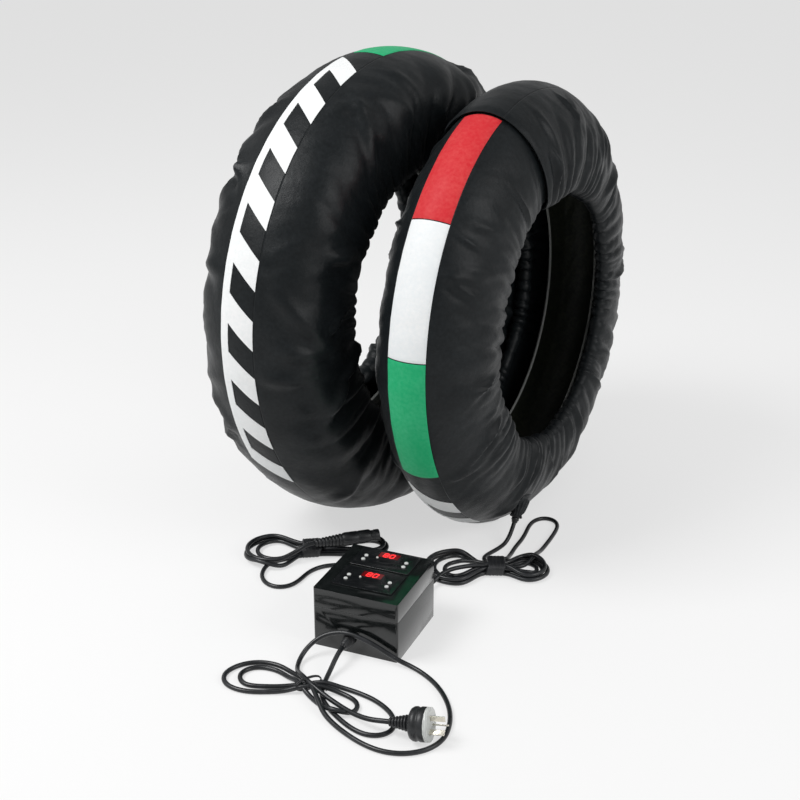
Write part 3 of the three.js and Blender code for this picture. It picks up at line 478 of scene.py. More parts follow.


# Cords: routes along the floor, over each crossing and over the strain relief

MAINS_ROUTE = [
    (0.0139, -0.4874, 0.019), (0.015, -0.497, 0.018), (0.0165, -0.509, 0.014), (0.018, -0.521, 0.0085),
    (0.02, -0.534, 0.0045), (0.025, -0.55, 0.003), (0.034, -0.566, 0.003), (0.049, -0.579, 0.003),
    (0.07, -0.591, 0.003), (0.093, -0.601, 0.003), (0.116, -0.605, 0.003), (0.134, -0.596, 0.003),
    (0.138, -0.577, 0.003), (0.122, -0.556, 0.003), (0.095, -0.543, 0.003), (0.071, -0.539, 0.003),
    (0.047, -0.54, 0.004), (0.024, -0.547, 0.008), (0.004, -0.558, 0.005), (-0.017, -0.571, 0.003),
    (-0.038, -0.583, 0.003), (-0.06, -0.59, 0.003), (-0.077, -0.574, 0.003), (-0.069, -0.553, 0.003),
    (-0.045, -0.546, 0.003), (-0.022, -0.552, 0.004), (-0.001, -0.562, 0.009), (0.02, -0.572, 0.004),
    (0.042, -0.582, 0.004), (0.064, -0.59, 0.009), (0.084, -0.577, 0.004), (0.077, -0.556, 0.003),
    (0.052, -0.55, 0.004), (0.029, -0.556, 0.009), (0.01, -0.566, 0.009), (-0.01, -0.579, 0.004),
    (-0.031, -0.592, 0.003), (-0.054, -0.602, 0.003), (-0.079, -0.6, 0.003), (-0.093, -0.583, 0.003),
    (-0.088, -0.559, 0.003), (-0.071, -0.542, 0.003), (-0.047, -0.536, 0.003), (-0.024, -0.541, 0.003),
    (-0.002, -0.55, 0.006), (0.018, -0.563, 0.012), (0.036, -0.579, 0.01), (0.055, -0.595, 0.005),
    (0.077, -0.606, 0.003), (0.1, -0.615, 0.003), (0.123, -0.621, 0.003), (0.148, -0.622, 0.003),
    (0.172, -0.613, 0.003), (0.19, -0.594, 0.003), (0.196, -0.569, 0.003), (0.19, -0.543, 0.003),
    (0.178, -0.519, 0.003), (0.161, -0.498, 0.003), (0.14, -0.48, 0.003), (0.117, -0.467, 0.003),
    (0.096, -0.462, 0.005), (0.079, -0.4635, 0.009), (0.062, -0.4655, 0.016), (0.046, -0.4675, 0.023),
    (0.03, -0.4695, 0.028), (0.014, -0.471, 0.0305), (0, -0.474, 0.0295), (-0.013, -0.48, 0.026),
    (-0.023, -0.488, 0.02), (-0.029, -0.499, 0.013), (-0.03, -0.512, 0.007), (-0.026, -0.526, 0.004),
    (-0.017, -0.539, 0.006), (0, -0.554, 0.013), (0.022, -0.565, 0.013), (0.045, -0.571, 0.009),
    (0.068, -0.578, 0.008), (0.09, -0.585, 0.0095), (0.111, -0.5895, 0.0125), (0.1245, -0.5888, 0.0147),
    (0.136, -0.5864, 0.0161),
]
FRONT_TAIL_ROUTE = [
    (0.0617, -0.1, 0.0259), (0.0618, -0.1055, 0.0195), (0.061, -0.113, 0.0105), (0.0595, -0.124, 0.0045),
    (0.0575, -0.138, 0.003), (0.054, -0.153, 0.003), (0.051, -0.168, 0.0035), (0.0523, -0.181, 0.0045),
    (0.0571, -0.1906, 0.005),
]
FRONT_LOOP_ROUTE = [
    (0.0866, -0.1751, 0.0105), (0.0825, -0.163, 0.0065), (0.079, -0.145, 0.003), (0.076, -0.124, 0.003),
    (0.0745, -0.1, 0.003), (0.0705, -0.077, 0.003), (0.066, -0.056, 0.003), (0.066, -0.037, 0.003),
    (0.075, -0.023, 0.003), (0.091, -0.023, 0.003), (0.102, -0.036, 0.003), (0.107, -0.06, 0.003),
    (0.11, -0.09, 0.003),
    (0.112, -0.118, 0.004), (0.1143, -0.1453, 0.0105),
]
FRONT_FEED_ROUTE = [
    (0.0276, -0.3185, 0.019), (0.027, -0.308, 0.0175), (0.0255, -0.296, 0.012), (0.0245, -0.283, 0.0075),
    (0.0265, -0.2675, 0.010),
]
REAR_FEED_ROUTE = [
    (-0.0241, -0.3245, 0.019), (-0.0255, -0.314, 0.0175), (-0.029, -0.301, 0.012), (-0.037, -0.287, 0.006),
    (-0.053, -0.277, 0.003), (-0.072, -0.275, 0.003), (-0.092, -0.28, 0.003), (-0.112, -0.289, 0.003),
    (-0.13, -0.304, 0.003), (-0.138, -0.326, 0.003), (-0.137, -0.35, 0.003), (-0.14, -0.371, 0.003),
    (-0.156, -0.383, 0.003), (-0.174, -0.379, 0.003), (-0.187, -0.368, 0.003), (-0.193, -0.358, 0.0035),
    (-0.1953, -0.3486, 0.0045),
]

# Folded leads, in millimetres of their own frame: middle on the floor, long side along X
FRONT_HANK = {"place": (69, -203), "turned": 27.7}
REAR_HANK = {"place": (-160, -272), "turned": 37}
LOW, HIGH = 5.0, 10.6  # heights of the strands on the floor side, and of those that lie on them


def fold(middle, radius, start, end, height, count=7):
    """Points round the end of a folded lead, from one angle to another in degrees."""
    angle = np.radians(np.linspace(start, end, count))
    x = middle[0] + radius * np.cos(angle)
    y = middle[1] + radius * np.sin(angle)
    return np.stack([x, y, np.broadcast_to(height, count)], 1).tolist()


def front_lead_path():
    """The front lead: its tail, three turns, a loose loop, a last turn and the feed to the box."""
    first = [
        (0.5, 18.3, LOW), (5.5, 14.6, LOW), (13, 12.6, LOW), (30, 13.5, LOW),
        *fold((54, 0), 30.5, 97, -97, LOW), (30, -13.5, LOW), (12, -12.6, LOW), (-6, -12.8, LOW),
        *fold((-41, 0), 42, 283, 77, LOW, 9), (-12, 12, LOW), (4, 6.9, LOW), (14, 6.3, LOW), (30, 8, LOW),
        *fold((53, 0), 24.3, 97, -97, LOW), (30, -7.5, LOW), (12, -6.3, LOW), (-6, -6.6, LOW),
        *fold((-38, 2), 33.5, 280, 80, LOW, 9), (-12, 6, LOW), (4, 1, LOW), (14, 0, LOW), (30, 2, LOW),
        *fold((52, 0), 18.2, 97, -80, (LOW, LOW, LOW, LOW, LOW, 7, 9.6), 7),
        (30, -9.6, HIGH), (12, -9.4, HIGH), (-6, -10, HIGH), *fold((-42, -1), 40, 283, 77, HIGH + 0.3, 9),
        (-8, 13, LOW), (6, 9.6, 10.4), (16, 10.8, 10.6), (23, 13.2, 10.8),
    ]
    last = [
        (62, 18, 11), (56, 4, 11), (46, -5.5, 11), (30, -5, HIGH), (12, -3.1, HIGH), (-4, -4, HIGH),
        (-20, -14, 10), *fold((-35, -4), 23, 270, 80, (8, 6, LOW, LOW, LOW, LOW, 7), 7),
        (-14, 9, 10), (0, 4, HIGH), (12, 3.1, HIGH), (28, 6.5, HIGH),
        *fold((53, 0), 27.4, 97, -97, (11, 14, 13, 10.3, 10.3, 10.3, 11), 7),
        (30, -9.5, 14.5), (12, -6.3, 15.6), (-8, -9, 15.8), (-28, -15, 16.4), (-46, -23, 16.6),
        (-59, -31, 14.6),
    ]
    parts = [
        FRONT_TAIL_ROUTE[:-1],
        turned(first, FRONT_HANK["turned"], FRONT_HANK["place"]).tolist(),
        FRONT_LOOP_ROUTE,
        turned(last, FRONT_HANK["turned"], FRONT_HANK["place"]).tolist(),
        FRONT_FEED_ROUTE[::-1],
    ]
    return cord_curve([point for part in parts for point in part])


def rear_lead_path():
    """The rear lead: its feed from the box, three turns and the end that rises to the connector."""
    turns = [
        (-70, -32, LOW), (-61, -25, LOW), (-42, -20, LOW), (-24, -13, LOW), (-8, -12.6, LOW),
        (10, -12.8, LOW), (40, -18, LOW), *fold((75, 0), 24.5, -97, 97, LOW), (40, 19, LOW), (10, 13, LOW),
        (-8, 12.6, LOW),
        (-26, 14, LOW), *fold((-59, 0), 40, 75, 285, (LOW, LOW, LOW, LOW, LOW, 8, 11.5, 9, LOW), 9),
        (-25, -11.5, LOW), (-8, -6.3, LOW), (10, -6.6, LOW), (40, -11, LOW),
        *fold((76, 0), 18.2, -97, 97, LOW), (40, 12, LOW), (10, 6.8, LOW), (-8, 6.3, LOW), (-24, 8, LOW),
        *fold((-56, 8), 27, 70, 280, LOW, 9), (-26, -3, LOW), (-8, 0, LOW), (10, 0, 6), (40, -9, 9.5),
        *fold((74, 0), 21.5, -90, 97, 10.4), (40, 14, 10.4), (10, 10, 10.4), (-8, 9.4, 10.4), (-24, 14, 10.4),
        *fold((-61, 4), 36, 75, 275, 11, 9), (-45, -29, 13), (-30, -23.5, 18), (-16, -19.8, 24),
        (-3.9, -17.7, 25.7),
    ]
    return cord_curve(REAR_FEED_ROUTE + turned(turns, REAR_HANK["turned"], REAR_HANK["place"]).tolist())


def make_cord(name, path, nodes):
    piece = tube(name, path, CORD_RADIUS)
    return dress(piece, cord_rubber, "cord_rubber", *nodes)


# Strain reliefs, plug, connector, ties and boot

def ribbed(start, end, low, high, count, crest=1.0):
    """Profile of rounded ribs that grow from one radius to another."""
    step = (end - start) / count
    valleys = np.linspace(low, high, count)
    shape = ((0, 0.0), (0.55, 0.12), (1, 0.3), (1, 0.62), (0.55, 0.8), (0, 0.9))
    return [
        (valley + crest * height, start + (i + share) * step)
        for i, valley in enumerate(valleys)
        for height, share in shape
    ]


BOX_PLACE = (-37.4, -470.8)
BOX_TURNED = 6.6
BOX_SIZE = (112.6, 121.4, 80.3)


def in_box(points):
    return turned(points, BOX_TURNED, BOX_PLACE)


def make_relief(name, x, y, outwards):
    """Strain relief: a collar against the case, a ribbed neck and a tapered nose."""
    profile = [(0, -5), (5.2, -5), (5.2, 0.2), (7.4, 0.3), (7.8, 1), (7.8, 4.4), (7.2, 5.4),
               *ribbed(6.2, 17.5, 5.9, 4.7, 4, 0.8), (4.3, 18.5), (3.9, 21), (3.4, 22), (0, 22)]
    start, ahead = in_box([(x, y, 19), (x, y + outwards * 10, 19)])
    piece = lathe(name + "_boot", profile, start, ahead - start)
    return dress(piece, moulding_rubber, "cord_rubber", name)


def make_connector():
    """Inline connector: a long ribbed relief, a fluted grip, a waist and a mouth with a rim."""
    profile = [(0, 0), *ribbed(0.5, 39, 4.4, 7.4, 8, 1.2),
               (8.6, 40), (9.5, 43), (9.5, 60), (9.1, 61), (9.1, 62.5),
               (9.5, 63.5), (9.5, 77), (8.6, 79), (7.7, 80), (7.7, 84), (8.3, 84.6), (8.3, 90.5), (7.8, 91.6),
               (6.2, 91.6), (5.8, 88), (0, 88)]
    start = (-0.15253, -0.28853, 0.0257)
    piece = lathe("connector_body", profile, start, (1, 1, 0), 48)
    return dress(piece, moulding_rubber, "cord_rubber", "rear_lead_connector")


PLUG_PLACE = (0.171, -0.579, 0.0205)
PLUG_AXIS = np.array([0.9708, 0.2064, 0.1219])


def make_plug():
    """Plug: a ribbed tail, a waisted round body, a clear disc with a rim, and three flat pins."""
    profile = [(0, -35.5), *ribbed(-35.5, -13, 4.2, 8.2, 6, 1.1), (9.6, -12), (13.5, -10.5), (17.4, -8.5),
               (19.2, -5.5), (19.5, -3), (19.1, -1.5), (18.4, -0.5), (18.4, 0.8), (19.1, 1.8), (19.5, 3),
               (19.5, 7.4), (18.9, 8.5), (0, 8.5)]
    body = lathe("plug_grip", profile, PLUG_PLACE, PLUG_AXIS, 48)
    dress(body, moulding_rubber, "cord_rubber", "plug_body")
    disc = softened("plug_disc", "plug_clear_disc", 0.0007)
    dress(disc, clear_plastic, "clear_plastic", "plug_disc")
    pins = [
        dress(softened(f"plug_pin_{pin}", f"{pin}_pin", 0.00035), pin_metal, "pin_metal", f"plug_pin_{pin}")
        for pin in ("live", "neutral", "earth")
    ]
    return [body, disc, *pins]


def softened(node, name, width, segments=3):
    """A copy of a CAD node's mesh, merged, with its flat faces joined and its sharp edges rounded."""
    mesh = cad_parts[node].data.copy()
    mesh.name = name
    shape = bmesh.new()
    shape.from_mesh(mesh)
    bmesh.ops.remove_doubles(shape, verts=shape.verts, dist=1e-6)
    bmesh.ops.dissolve_limit(shape, angle_limit=np.radians(2), verts=shape.verts, edges=shape.edges)
    shape.to_mesh(mesh)
    shape.free()
    piece = bpy.data.objects.new(name, mesh)
    bpy.context.collection.objects.link(piece)
    bevel = piece.modifiers.new("rounded_edges", "BEVEL")
    bevel.width = width
    bevel.segments = segments
    bevel.limit_method = "ANGLE"
    bevel.angle_limit = np.radians(35)
    bevel.harden_normals = True
    mesh.shade_smooth()
    return piece


def make_tie(name, hank, at, half_width, high, wraps, node):
    """Tape wound round the waist of a folded lead: a rounded band with a step at the edge of every turn."""
    turn = np.linspace(0, 2 * np.pi, 40, endpoint=False)
    along = np.linspace(-12, 12, 49)
    edge = smoothstep(12 - np.abs(along), -0.01, 1.2)
    step = 0.5 * ((along / 24 * wraps) % 1)
    swell = (1.2 * edge + step)[:, None]
    slope = 1.8 * np.sin(turn)[None] + 0.6 * np.sin(3 * turn + 1)[None]
    y = np.sign(np.cos(turn)) * np.abs(np.cos(turn)) ** 0.55 * (half_width + swell)
    z = 1.9 + high / 2 + np.sign(np.sin(turn)) * np.abs(np.sin(turn)) ** 0.7 * (high / 2 + swell * 0.9)
    x = at + along[:, None] + slope
    local = np.stack(np.broadcast_arrays(x, y, np.maximum(z, 0.3)), -1)
    piece = loft(name, turned(local, hank["turned"], hank["place"]), None, False, 70)
    return dress(piece, tie_tape, "tie_band", node)


def make_wire_tie():
    """Thin wire wound twice round the crossing of the mains cord, with its ends twisted and laid over."""
    t = np.linspace(0, 4 * np.pi, 90)
    middle = np.array([10.0, -557.0, 8.2])
    heading = np.radians(-28)
    across = np.array([-np.sin(heading), np.cos(heading), 0])
    along = np.array([np.cos(heading), np.sin(heading), 0])
    advance = (t - 2 * np.pi) * 0.35
    hoop = np.outer(np.cos(t), across * 17) + np.outer(np.sin(t), (0, 0, 7.3)) + np.outer(advance, along)
    tail = middle + across * 17 + np.array([[4.0, -3, -3], [8, -5, -5], [13, -9, -7]])
    path = np.vstack([middle + hoop, tail])
    piece = tube("mains_wire_tie", smooth_route(path * MM, 2), 0.0009, 8, reference=along)
    return dress(piece, tie_tape, "tie_band")


def make_cords():
    mains = make_cord("mains_lead", cord_curve(MAINS_ROUTE), ["mains_cord"])
    front_nodes = [f"front_lead_{part}" for part in ("tail", "loop", "feed", "hank")]
    front = make_cord("front_lead", front_lead_path(), front_nodes)
    rear = make_cord("rear_lead", rear_lead_path(), ["rear_lead_feed", "rear_lead_hank"])
    plug = make_plug()
    connector = make_connector()
    front_tie = make_tie("front_lead_band", FRONT_HANK, 12, 16.6, 15.5, 5, "front_lead_tie")
    rear_tie = make_tie("rear_lead_band", REAR_HANK, -8, 17.3, 14.5, 5, "rear_lead_tie")
    wire_tie = make_wire_tie()
    cord_curve(MAINS_ROUTE)
    front_lead_path()
    rear_lead_path()


make_cords()


# Sleeves

STEPS_ROUND = 54
OVERLAP_STEPS = 7
OVERLAP_LIFT = 6.1
WALL = 3.2  # thickness of the quilted cover in millimetres
FLOOR_GAP = 0.05

SLEEVES = {
    "front": {
        "place": (0, 0, 307), "turned": 0, "edge": 109.5, "radius": 310, "half_width": 72, "shoulder": 95,
        "hem": (66, 180), "band": 27, "bead": (38, 222), "side": (51, 250), "motif": (215, 3),
        "tab_step": 28, "tab_rows": (46, 25), "seed": 11,
        "gathers": ((74, 5.4, 1.0, 0.85, 0.10), (37, 5.4, 0.68, 0.6, 0.16), (19, 4.2, 0.44, 0.44, 0.22)),
        "creases": {
            "count": 110, "slant": 0.16, "width": (3.5, 7), "height": (2.2, 5.0), "length": (0.18, 0.45)},
    },
    "rear": {
        "place": (-186, -46, 328.5), "turned": -3.4, "edge": -5, "radius": 331.5, "half_width": 84,
        "shoulder": 62, "hem": (78, 186), "band": 25, "bead": (58, 224), "side": (70, 262), "motif": (99, 9),
        "tab_step": 46, "tab_rows": (134, 155), "seed": 23,
        "gathers": ((70, 4.6, 1.0, 0.75, 0.12), (33, 6.0, 0.66, 0.62, 0.3), (17, 6.6, 0.44, 0.46, 0.4)),
        "creases": {
            "count": 110, "slant": 0.5, "width": (6, 12), "height": (2.6, 6.4), "length": (0.2, 0.5)},
    },
}


def cloth_section(sleeve):
    """Outline of the outer skin in the plane of the axle, from the far lip over the tread to the near lip:
    the elliptical crown of the solid, a side that bellies out, and a hem rolled in round its elastic. Gives
    each point's place across, -1 to 1, its offset on the axle, radius and outward normal, and the length."""
    half, deep, top = sleeve["half_width"], sleeve["shoulder"], sleeve["radius"]
    hem_x, hem_r = sleeve["hem"]
    centre = top - deep
    slopes = np.radians((14, 27, 40, 52, 63, 72, 81, 90))
    crown = [(half * np.cos(s), centre + deep * np.sin(s)) for s in slopes]
    hem = [(hem_x - 9.5, hem_r + 9), (hem_x - 8.5, hem_r + 3), (hem_x - 4, hem_r - 0.2),
           (hem_x + 1.5, hem_r + 1.2),
           (hem_x + 4.5, hem_r + 7), (half + 0.2, hem_r + 0.45 * (centre - hem_r)), (half + 1.2, centre + 1)]
    near = np.array(hem + crown)
    far = near[-2::-1] * (-1, 1)
    line = smooth_route(np.vstack([near, far]), 10)[::-1]
    steps = np.linalg.norm(np.diff(line, axis=0), axis=1)
    run = np.concatenate([[0], np.cumsum(steps)])
    along = np.gradient(line, axis=0)
    along /= np.linalg.norm(along, axis=1, keepdims=True)
    return {"across": 2 * run / run[-1] - 1, "x": line[:, 0], "r": line[:, 1],
            "nx": -along[:, 1], "nr": along[:, 0], "length": run[-1]}


for each_sleeve in SLEEVES.values():
    each_sleeve["section"] = cloth_section(each_sleeve)


def across_at(sleeve, x):
    """Place across of an offset from the middle of the tread."""
    section = sleeve["section"]
    crown = section["r"] > sleeve["radius"] - 0.8 * sleeve["shoulder"]
    return np.interp(x, section["x"][crown], section["across"][crown])


def across_at_degrees(sleeve, degrees):
    return across_at(sleeve, sleeve["half_width"] * np.cos(np.radians(degrees)))


def step_radians(sleeve, step):
    return np.radians(sleeve["edge"] + (step - OVERLAP_STEPS) * 360 / STEPS_ROUND)


def fold_height(sleeve, step, across):
    """Height of the gathers in millimetres: families of round ridges with sharp valleys that lean a little
    and fade from the hem to the tread, scattered single creases, and faint wrinkles on the tread."""
    angle = step_radians(sleeve, step)
    band = across_at(sleeve, sleeve["band"])
    out = np.clip((np.abs(across) - band) / (1 - band), 0, 1)
    side = np.sign(across)
    seed = sleeve["seed"]
    height = np.zeros(angle.shape)
    for k, (count, size, middle, reach, lean) in enumerate(sleeve["gathers"]):
        uneven = 0.055 * wander(angle * side, seed + k, 3, 14) * (19 / count) ** 0.5
        phase = count * (angle + uneven + lean * (1 - out) * side) + 2.1 * side
        strength = 0.62 + 0.38 * wander(angle * side, seed + 40 + k, 2, 11)
        height = height + size * strength * np.abs(np.cos(phase / 2)) ** 0.8 * hill(out, middle, reach)
    height = height + crease_height(sleeve, angle, out, side)
    height = height * smoothstep(out, 0, 0.14)
    height = height + 0.22 * smoothstep(out, 0, 0.1) * wander(angle + 0.4 * across, seed + 90, 60, 120)
    height = height + 0.12 * wander(angle + 0.2 * across, seed + 91, 30, 70)
    shown = smoothstep(step, 7.1, 8.3) + 0.1
    edge = 1 - 0.55 * smoothstep(step, 59.6, 61)
    return height * np.minimum(shown, 1) * edge


def crease_height(sleeve, angle, out, side):
    """Single creases: each a narrow ridge along a slanted line across the side, fading at its ends."""
    rng = np.random.default_rng(sleeve["seed"] + 5)
    kind = sleeve["creases"]
    height = np.zeros(angle.shape)
    for _ in range(kind["count"]):
        at, start = rng.uniform(0, 2 * np.pi), rng.uniform(0.12, 0.8)
        lean = rng.normal(0, kind["slant"])
        length, width, size = (rng.uniform(*kind[key]) for key in ("length", "width", "height"))
        which = rng.choice((-1, 1))
        away = (angle - at - lean * (out - start) + np.pi) % (2 * np.pi) - np.pi
        ridge = np.exp(-(away * 260 / width) ** 2) - 0.45 * np.exp(-((away * 260 - 1.6 * width) / width) ** 2)
        height = height + size * ridge * hill(out, start, length) * (side == which)
    return height


def cover_point(sleeve, step, across, lift=0.0):
    """Point of the outer skin, `lift` millimetres over it: the outline's point pushed out along its normal by
    the folds and the overlap, turned round the axle, and laid flat where it would pass through the floor."""
    section = sleeve["section"]
    step, across = np.broadcast_arrays(np.asarray(step, float), np.asarray(across, float))
    x, r, nx, nr = (np.interp(across, section["across"], section[key]) for key in ("x", "r", "nx", "nr"))
    raised = OVERLAP_LIFT * smoothstep(step, 49, 54) * (1 - 0.3 * smoothstep(step, 60.7, 61))
    out = raised + lift + fold_height(sleeve, step, across)
    angle = step_radians(sleeve, step)
    x, r = x + nx * out, r + nr * out
    z = np.maximum(r * np.sin(angle), FLOOR_GAP - sleeve["place"][2])
    return turned(np.stack([x, r * np.cos(angle), z], -1), sleeve["turned"], sleeve["place"])


def cloth_lay(sleeve, step, across):
    """Lay of the cloth in metres: along the tread, and out from its middle."""
    step, across = np.broadcast_arrays(np.asarray(step, float), np.asarray(across, float))
    along = step * 2 * np.pi / STEPS_ROUND * sleeve["radius"] * MM
    return np.stack([along, across * sleeve["section"]["length"] / 2 * MM], -1)


def make_cover(name, sleeve):
    """The cover: one open strip round the place of the wheel, its last steps over its first."""
    step = np.concatenate([[0, 0.04], np.linspace(0.1, 60.9, 611), [60.96, 61]])[:, None]
    across = np.sin(np.linspace(-1, 1, 67) * np.pi / 2 * 0.86) / np.sin(np.pi / 2 * 0.86)
    wall = WALL * (1 - 0.55 * smoothstep(np.abs(across), 0.93, 1))[None]
    wall = wall * np.sqrt(np.clip(np.minimum(step, 61 - step) / 0.1, 0.05, 1))
    outer = cover_point(sleeve, step, across[None])
    inner = cover_point(sleeve, step, across[None], -wall)
    piece = shell(f"{name}_cover_cloth", outer, inner, cloth_lay(sleeve, step, across[None]))
    dress(piece, cover_cloth[name], "cover_fabric", f"{name}_cover")
    return piece


def make_panel(name, sleeve, colour, first):
    """A coloured panel of the stripe: a thin sheet on the tread, turned down at its edges."""
    half = across_at(sleeve, sleeve["band"] - 0.3)
    step = np.linspace(first + 0.02, first + 4.98, 75)[:, None]
    across = np.linspace(-half, half, 25)[None]
    long_edge = smoothstep(half - np.abs(across), -0.001, 0.012)
    short_edge = smoothstep(2.5 - np.abs(step - first - 2.5), 0, 0.08)
    edge = np.minimum(long_edge, short_edge)
    outer = cover_point(sleeve, step, across, 0.1 + 0.8 * edge)
    inner = cover_point(sleeve, step, across, 0.05)
    piece = shell(f"{name}_{colour}_panel", outer, inner, cloth_lay(sleeve, step, across))
    dress(piece, panel_cloth[colour], f"{colour}_print", f"{name}_stripe_{colour}")


def make_motif(name, sleeve):
    """Slanted bars joined by a rail: the cells of a fine grid on the tread that a bar or the rail covers."""
    start, teeth = sleeve["motif"]
    fine, column = 6, 360 / STEPS_ROUND / 2
    columns = (teeth * 4 - 2) * fine
    half = across_at(sleeve, sleeve["band"])
    rows = 24
    c, r = np.mgrid[0:columns + 1, 0:rows + 1]
    degrees = start + c * column / fine + column * 0.55 * (4 - r / rows * 4)
    step = (degrees - sleeve["edge"]) / 360 * STEPS_ROUND + OVERLAP_STEPS
    across = half * (1 - 2 * r / rows)
    cell_column, cell_row = np.mgrid[0:columns, 0:rows]
    present = (cell_row >= 18) | ((cell_column // fine) % 4 < 2)
    outer = cover_point(sleeve, step, across, 0.75)
    inner = cover_point(sleeve, step, across, 0.05)
    piece = shell(f"{name}_white_motif", outer, inner, cloth_lay(sleeve, step, across), present)
    dress(piece, motif_cloth, "white_print", f"{name}_motif")


def make_tab(name, sleeve):
    """Patch where the lead enters the cover: a padded square with rounded corners and a sunk seam."""
    near, far = (across_at_degrees(sleeve, degrees) for degrees in sleeve["tab_rows"])
    u = np.linspace(-1, 1, 29)[:, None]
    v = np.linspace(-1, 1, 29)[None]
    round_u, round_v = u * np.sqrt(1 - 0.28 * v ** 2), v * np.sqrt(1 - 0.28 * u ** 2)
    step = sleeve["tab_step"] + 0.5 + 0.62 * round_u
    across = (near + far) / 2 + (far - near) / 2 * 1.05 * round_v
    inside = 1 - np.maximum(np.abs(u), np.abs(v))
    rim, seam, padding = smoothstep(inside, 0, 0.1), hill(inside, 0.2, 0.07), smoothstep(inside, 0.2, 0.6)
    height = 0.5 + rim - 0.7 * seam + 1.4 * padding
    outer = cover_point(sleeve, step, across, height)
    inner = cover_point(sleeve, step, across, 0.1)
    piece = shell(f"{name}_tab_patch", outer, inner, cloth_lay(sleeve, step, across))
    dress(piece, tab_cloth, "cover_fabric", f"{name}_cable_tab")


def axle(sleeve):
    """Direction of the axle of the wheel that the sleeve is made for."""
    return turned((1, 0, 0), sleeve["turned"], (0, 0, 0)) / MM


def on_wheel(sleeve, x, r, angle):
    z = np.maximum(r * np.sin(angle), 5 - sleeve["place"][2])
    points = np.stack(np.broadcast_arrays(x, r * np.cos(angle), z), -1)
    return turned(points, sleeve["turned"], sleeve["place"])


def make_lining(name, sleeve):
    """Inner channel round the place of the wheel: a trough with a round crown and sides that lean in to a
    bound edge. Its skin waves a little, as a lining does that is held only at its seams."""
    half, deep, top = sleeve["half_width"], sleeve["shoulder"], sleeve["radius"]
    inset = 11.8
    slopes = np.radians(np.arange(46, 91, 11))
    crown = [((half - inset) * np.cos(s), top - deep + (deep - inset) * np.sin(s)) for s in slopes]
    bead, side = sleeve["bead"], sleeve["side"]
    near = np.array([bead, ((bead[0] + side[0]) / 2 + 1.5, (bead[1] + side[1]) / 2), side, *crown])
    line = smooth_route(np.vstack([near, near[-2::-1] * (-1, 1)]), 5)
    along = np.gradient(line, axis=0)
    along /= np.linalg.norm(along, axis=1, keepdims=True)
    normal = np.stack([along[:, 1], -along[:, 0]], 1)
    angle = np.linspace(0, 2 * np.pi, 240, endpoint=False)[:, None]
    place = np.linspace(-1, 1, len(line))[None]
    wave = -0.5 - 0.5 * np.abs(wander(angle + 0.6 * place, sleeve["seed"] + 7, 8, 40)) * (1 - place ** 4)
    skins = []
    for inwards in (0, 1.2):
        x = line[None, :, 0] + normal[None, :, 0] * (wave - inwards)
        r = line[None, :, 1] + normal[None, :, 1] * (wave - inwards)
        skins.append(on_wheel(sleeve, x, r, angle))
    run = np.concatenate([[0], np.cumsum(np.linalg.norm(np.diff(line, axis=0), axis=1))])
    lay = np.stack(np.broadcast_arrays(angle * top * MM, run[None] * MM), -1)
    piece = shell(f"{name}_lining_cloth", *skins, lay, wrap=True)
    dress(piece, lining_cloth, "lining_fabric", f"{name}_lining")
    for word, sign in (("near", 1), ("far", -1)):
        ring = on_wheel(sleeve, sign * (bead[0] - 1), bead[1] - 0.5, angle)[:, 0]
        binding = tube(f"{name}_lining_binding_{word}", ring, 0.0019, 10, True, axle(sleeve))
        dress(binding, binding_cloth, "lining_fabric")


def make_elastic(name, sleeve, word, sign):
    """Round elastic in the rolled hem, gathered with the cloth."""
    hem_x, hem_r = sleeve["hem"]
    angle = np.linspace(0, 2 * np.pi, 300, endpoint=False)
    ripple = 0.4 * np.abs(np.cos(37 * angle + wander(angle, 3)))
    ring = on_wheel(sleeve, sign * (hem_x - 5.2), hem_r + 5.4 + ripple, angle)
    elastic = tube(f"{name}_elastic_{word}", ring, 0.0018, 8, True, axle(sleeve))
    dress(elastic, elastic_cloth, "elastic", f"{name}_hem_elastic_{word}")


def make_sleeve(name):
    sleeve = SLEEVES[name]
    make_cover(name, sleeve)
    for index, colour in enumerate(("red", "white", "green")):
        make_panel(name, sleeve, colour, OVERLAP_STEPS + 5 * index)
    make_motif(name, sleeve)
    make_tab(name, sleeve)
    make_lining(name, sleeve)
    make_elastic(name, sleeve, "near", 1)
    make_elastic(name, sleeve, "far", -1)
    finish_node(f"{name}_insulation", felt_cloth)
    finish_node(f"{name}_heating_element", element_tape)
    finish_node(f"{name}_closure_tape", hook_tape)


def make_boot():
    """Boot of the front lead: a cloth cuff gathered round the root of a ribbed strain relief."""
    start = (0.0602, -0.0799, 0.0488)
    direction = (0.05, -0.66, -0.75)
    boot_profile = [(0, -3), (7.4, -3), (7.4, 9), *ribbed(10, 27, 6.4, 4.6, 4, 0.9),
                    (4.2, 28.5), (3.5, 30), (0, 30)]
    boot = lathe("front_lead_ribbed_boot", boot_profile, start, direction)
    dress(boot, moulding_rubber, "cord_rubber", "front_lead_boot")
    cuff_profile = [(0, -6), (13.5, -6), (13, -1), (12.2, 4), (11.4, 9), (10, 13), (8.2, 15.5), (7.6, 17),
                    (8.6, 19), (9.4, 20.5), (8.8, 21), (6.6, 17.5), (0, 17)]
    gathers = (15, 0.12)
    cuff = lathe("front_lead_cuff", cuff_profile, start, direction, 60, gathers, 60)
    dress(cuff, tab_cloth, "cover_fabric")


for sleeve_name in SLEEVES:
    make_sleeve(sleeve_name)
make_boot()


# Control box

BEZELS = {"front": 18.5 + 23.5, "rear": 71.5 + 23.5}
SEGMENTS = {"8": "abcdefg", "0": "abcdef"}


